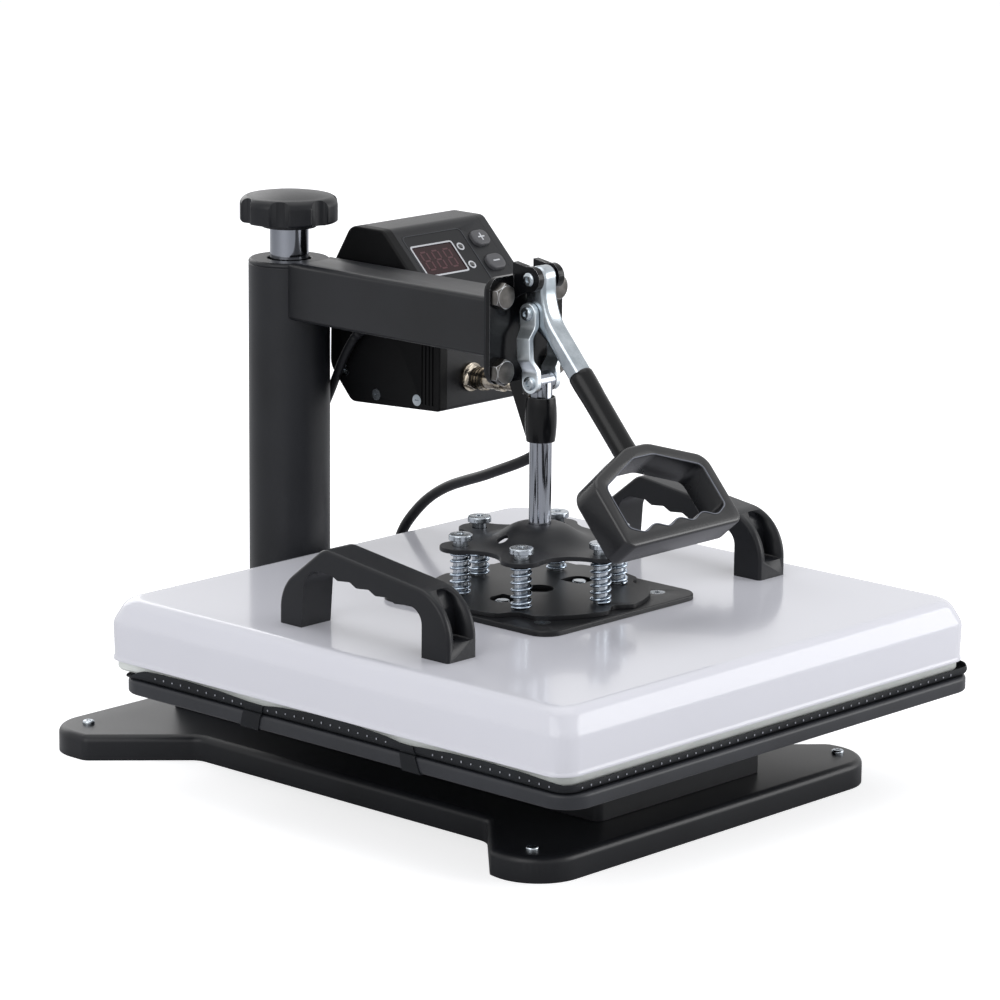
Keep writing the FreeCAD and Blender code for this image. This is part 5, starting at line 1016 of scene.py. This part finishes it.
def hand_lever():
    """Forged lever: round head, crank and a bar that slants forward into the sleeve."""
    tip = LEVER_BEND + ALONG_LEVER * LEVER_REACH
    lower, upper = tip + ACROSS_LEVER * LEVER_BAR_HALF, tip - ACROSS_LEVER * LEVER_BAR_HALF
    head = [tuple(value * MM for value in corner) for corner in (*LEVER_HEAD, LEVER_NECK)]
    corners = (*head[:-1], (lower.y, lower.z, 0), (upper.y, upper.z, 0), head[-1])
    shape = cut_out(corners, lambda y, z: Vector((-LEVER_HALF, y, z)), X * 2 * LEVER_HALF)
    bevel(shape, sharp_edges(shape, 50), 3.2 * MM, 5)
    return shape


piece("hand_lever", hand_lever(), "lever", "zinc_link", 40, ("lever_arm",))

SLEEVE_PROFILE = ((0.0, 6.4), (0.25, 7.3), (0.9, 8.0), (2.0, 8.42), (4.0, 8.5), (9.0, 8.5), (14.0, 8.35),
                  (20.0, 8.1), (40.0, 8.0), (56.0, 8.0), (63.2, 8.1))
sleeve_axis = [SLEEVE_FOOT, SLEEVE_FOOT + ALONG_LEVER * SLEEVE_LENGTH]
piece("lever_sleeve_grip", sleeve_on(sleeve_axis, [(d * MM, r * MM) for d, r in SLEEVE_PROFILE], 40),
      "lever", "boot_rubber", 40, ("lever_sleeve",))


def loop_place(x, down):
    return SLEEVE_FOOT + ALONG_LEVER * (SLEEVE_LENGTH + down) + X * x


def finger_wave(x):
    """Four finger hollows along the loop's lower bar."""
    turn = 2 * math.pi * (x / MM + FINGER_PITCH / 2) / FINGER_PITCH
    return LOOP_FOOT - LOOP_WALL - (FINGER_DEPTH - FINGER_DEPTH * math.cos(turn)) * MM


def loop_opening(inset):
    """Corners of the opening, drawn in by an inset."""
    wall = LOOP_WALL + inset
    reach = LOOP_HALF_W - wall
    shoulder = LOOP_ROOF + wall * 0.7
    heel = LOOP_FOOT - wall - 5 * MM
    corners = [(-reach, shoulder, 4 * MM), (-10 * MM, wall, 3 * MM), (10 * MM, wall, 3 * MM),
               (reach, shoulder, 4 * MM), (reach, heel, 2.5 * MM)]
    for i in range(FINGER_STEPS + 1):
        x = (reach - 6 * MM) * (1 - 2 * i / FINGER_STEPS)
        corners.append((x, finger_wave(x) - inset, 0))
    corners.append((-reach, heel, 2.5 * MM))
    return corners


def hand_loop():
    """Closed loop: roof-shaped outside, open inside, with finger hollows in its lower bar."""
    w, top = LOOP_HALF_W, LOOP_TOP_HALF
    outer = ((-top, 0, 4 * MM), (top, 0, 4 * MM), (w, LOOP_ROOF, 8 * MM), (w, LOOP_FOOT, 7 * MM),
             (-w, LOOP_FOOT, 7 * MM), (-w, LOOP_ROOF, 8 * MM))
    front = LEVER_NORMAL * (LOOP_DEPTH / 2)
    shape = between_outlines((outer, loop_opening(0.0)), lambda x, down: loop_place(x, down) - front, 6)
    bmesh.ops.dissolve_limit(shape, angle_limit=math.radians(0.5), verts=shape.verts, edges=shape.edges)
    drawn_out(shape, front * 2)
    rims = [e for e in sharp_edges(shape, 70)
            if abs((e.verts[0].co - e.verts[1].co).dot(LEVER_NORMAL)) < 0.1 * MM]
    middle = loop_place(0, 0)

    def outside(e):
        at = (e.verts[0].co + e.verts[1].co) / 2 - middle
        x, down = abs(at.x), at.dot(ALONG_LEVER)
        roof = down < LOOP_ROOF + NEAR and down < (x - top) * ROOF_SLOPE + NEAR
        return x > w - NEAR or down > LOOP_FOOT - NEAR or down < 1 * MM or roof

    outer_rims = [e for e in rims if outside(e)]
    bevel(shape, [e for e in rims if e not in outer_rims], 0.7 * MM, 2)
    bevel(shape, [e for e in outer_rims if e.is_valid], 2.3 * MM, 4)
    return shape


piece("hand_loop", hand_loop(), "lever", "loop_black_moulding", 45, ("d_handle",))


def painted_highlight_lip():
    """Thin raised lip round the opening, on the loop's upper side; its pale grey is a painted highlight."""
    face = -LEVER_NORMAL * (LOOP_DEPTH / 2 - 0.2 * MM)
    shape = between_outlines([loop_opening(inset) for inset in (-0.9 * MM, -0.25 * MM)],
                             lambda x, down: loop_place(x, down) + face, 6)
    return drawn_out(shape, face.normalized() * 0.45 * MM)


piece("hand_loop_lip", painted_highlight_lip(), "lever", "painted_highlight_lip", 45)


def turned(profile, at, along, steps=32):
    """Round piece from a profile of (radius, height), on an axis at a place."""
    shape = bmesh.new()
    verts = [shape.verts.new((radius, 0, height)) for radius, height in profile]
    edges = [shape.edges.new(pair) for pair in zip(verts, verts[1:])]
    bmesh.ops.spin(shape, geom=verts + edges, cent=(0, 0, 0), axis=(0, 0, 1), angle=2 * math.pi, steps=steps,
                   use_merge=True)
    bmesh.ops.remove_doubles(shape, verts=shape.verts, dist=1e-7)
    turn = Vector(along).to_track_quat("Z", "Y").to_matrix().to_4x4()
    bmesh.ops.transform(shape, matrix=Matrix.Translation(at) @ turn, verts=shape.verts)
    return outward(shape)


# Printed marks, frame and figures of the control panel

SLOPE_FOOT = mm(0, 122, 299)
UP_SLOPE = Vector((0, 1, 1)).normalized()
SLOPE_NORMAL = Vector((0, -1, 1)).normalized()
WINDOW = (45 * MM, 85 * MM, 34.5 * MM, 59.5 * MM)
LAMP_X, LAMP_ROWS = 91 * MM, (54 * MM, 38 * MM)
KEY_X, KEY_ROWS, KEY_TOP = 112.5 * MM, (57.5 * MM, 36.5 * MM), 3.0 * MM
PRINT, SUNK, FRAME_GAP = 0.12 * MM, -0.1 * MM, 0.9 * MM
LAMP_RING = ((2.0 * MM, 0), (2.0 * MM, PRINT + 0.2 * MM), (3.2 * MM, PRINT + 0.2 * MM), (3.2 * MM, 0),
             (2.0 * MM, 0))
FIGURE_W, FIGURE_H, FIGURE_PITCH, FIGURE_MARGIN, STROKE = 7.4 * MM, 15.0 * MM, 11.2 * MM, 5.0 * MM, 1.3 * MM
FIGURE_LOW, FIGURE_HIGH = -0.52 * MM, -0.44 * MM
BORDER = (42.2 * MM, 100.8 * MM, 16.7 * MM, 69.3 * MM)


def on_slope(x, s, height=0.0):
    return SLOPE_FOOT + X * x + UP_SLOPE * s + SLOPE_NORMAL * height


def slope_bar(x0, x1, s0, s1, low, high, corner=0.0):
    corners = ((x0, s0, corner), (x1, s0, corner), (x1, s1, corner), (x0, s1, corner))
    return cut_out(corners, lambda x, s: on_slope(x, s, low), SLOPE_NORMAL * (high - low), 4)


def slope_frame(x0, x1, s0, s1, width, low, high, corner):
    """Rounded frame: outer outline, inner outline, filled between and raised."""
    outlines = [((x0 - grow, s0 - grow, rounding), (x1 + grow, s0 - grow, rounding),
                 (x1 + grow, s1 + grow, rounding), (x0 - grow, s1 + grow, rounding))
                for grow, rounding in ((0.0, corner), (-width, corner - width * 0.6))]
    shape = between_outlines(outlines, lambda x, s: on_slope(x, s, low), 5)
    return drawn_out(shape, SLOPE_NORMAL * (high - low))


piece("window_frame", slope_frame(WINDOW[0] - FRAME_GAP, WINDOW[1] + FRAME_GAP, WINDOW[2] - FRAME_GAP,
                                  WINDOW[3] + FRAME_GAP, 1.25 * MM, SUNK, PRINT, 2.2 * MM),
      "arm", "printed_white", 40)
rings = [turned(LAMP_RING, on_slope(LAMP_X, s, SUNK), SLOPE_NORMAL, 28) for s in LAMP_ROWS]
piece("lamp_rings", joined(*rings), "arm", "printed_white", 40)


def figures():
    """Three unlit figures behind the display window."""
    parts = []
    for i in range(3):
        x0, s0 = WINDOW[0] + FIGURE_MARGIN + i * FIGURE_PITCH, WINDOW[2] + FIGURE_MARGIN
        levels = (s0, s0 + FIGURE_H / 2, s0 + FIGURE_H)
        for s in levels:
            parts.append(slope_bar(x0 + STROKE, x0 + FIGURE_W - STROKE, s - STROKE / 2, s + STROKE / 2,
                                   FIGURE_LOW, FIGURE_HIGH))
        for x in (x0 + STROKE / 2, x0 + FIGURE_W - STROKE / 2):
            for low, high in zip(levels, levels[1:]):
                parts.append(slope_bar(x - STROKE / 2, x + STROKE / 2, low + STROKE * 0.7,
                                       high - STROKE * 0.7, FIGURE_LOW, FIGURE_HIGH))
    return joined(*parts)


piece("display_figures", figures(), "arm", "unlit_figures", 40)
piece("panel_border", slope_frame(*BORDER, 0.7 * MM, -0.15 * MM, 0.18 * MM, 3.6 * MM), "arm",
      "panel_border", 40)


def key_mark(row, upright):
    reach, thick = 3.1 * MM, 0.55 * MM
    s = KEY_ROWS[row]
    low, high = KEY_TOP - 0.1 * MM, KEY_TOP + PRINT
    parts = [slope_bar(KEY_X - reach, KEY_X + reach, s - thick, s + thick, low, high)]
    if upright:
        parts.append(slope_bar(KEY_X - thick, KEY_X + thick, s - reach, s + reach, low, high - 0.01 * MM))
    return joined(*parts)


piece("plus_mark", key_mark(0, True), "plus_key", "printed_white", 40)
piece("minus_mark", key_mark(1, False), "minus_key", "printed_white", 40)


# CAD nodes that keep their shape

EDGE_MM = {
    "riser_beam": 0.4, "bed_plate": 0.5, "column_tube": 0.6, "column_cap": 0.6, "arm_beam": 0.8,
    "toggle_plate": 0.6, "spring_plate": 0.4, "spring_disc": 0.5, "mounting_plate": 0.3, "toggle_links": 0.5,
    "plunger_rod": 0.4, "shoulder_bolts": 0.3, "plate_bolts": 0.6, "heat_platen": 0.6, "near_end_cap": 0.3,
    "far_end_cap": 0.3, "box_shell": 0.2, "rocker": 0.3, "rocker_frame": 0.3,
}
# Bevel faces of these nodes take the pale metal of a painted edge highlight
RIM_OF = {"plate_bolts": "painted_edge_highlight", "toggle_plate": "painted_edge_highlight"}
FINISHED_AS = {
    "black_tube_coat": ("column_tube", "column_cap"), "bed_black_coat": ("bed_plate",),
    "black_gloss_paint": ("toggle_plate",), "dome_black_coat": ("spring_plate",),
    "black_satin_sheet": ("spring_disc", "mounting_plate"), "dark_bolt_steel": ("plate_bolts",),
    "link_steel": ("toggle_links",), "zinc_link": ("cap_screws", "top_pin", "mid_pin", "lower_rivets"),
    # near_end_cap takes the darker black of painted shade
    "painted_shade_cap_black": ("near_end_cap",), "nickel_plate": ("cable_connector",),
    "base_black_coat": ("base_shell",), "polished_chrome": ("knob_sleeve", "plunger_rod"),
}
FINISH_OF = {node: finish for finish, members in FINISHED_AS.items() for node in members}
for node in nodes:
    if node not in replaced:
        dressed(node, FINISH_OF.get(node), EDGE_MM.get(node, 0.0) * MM, RIM_OF.get(node))
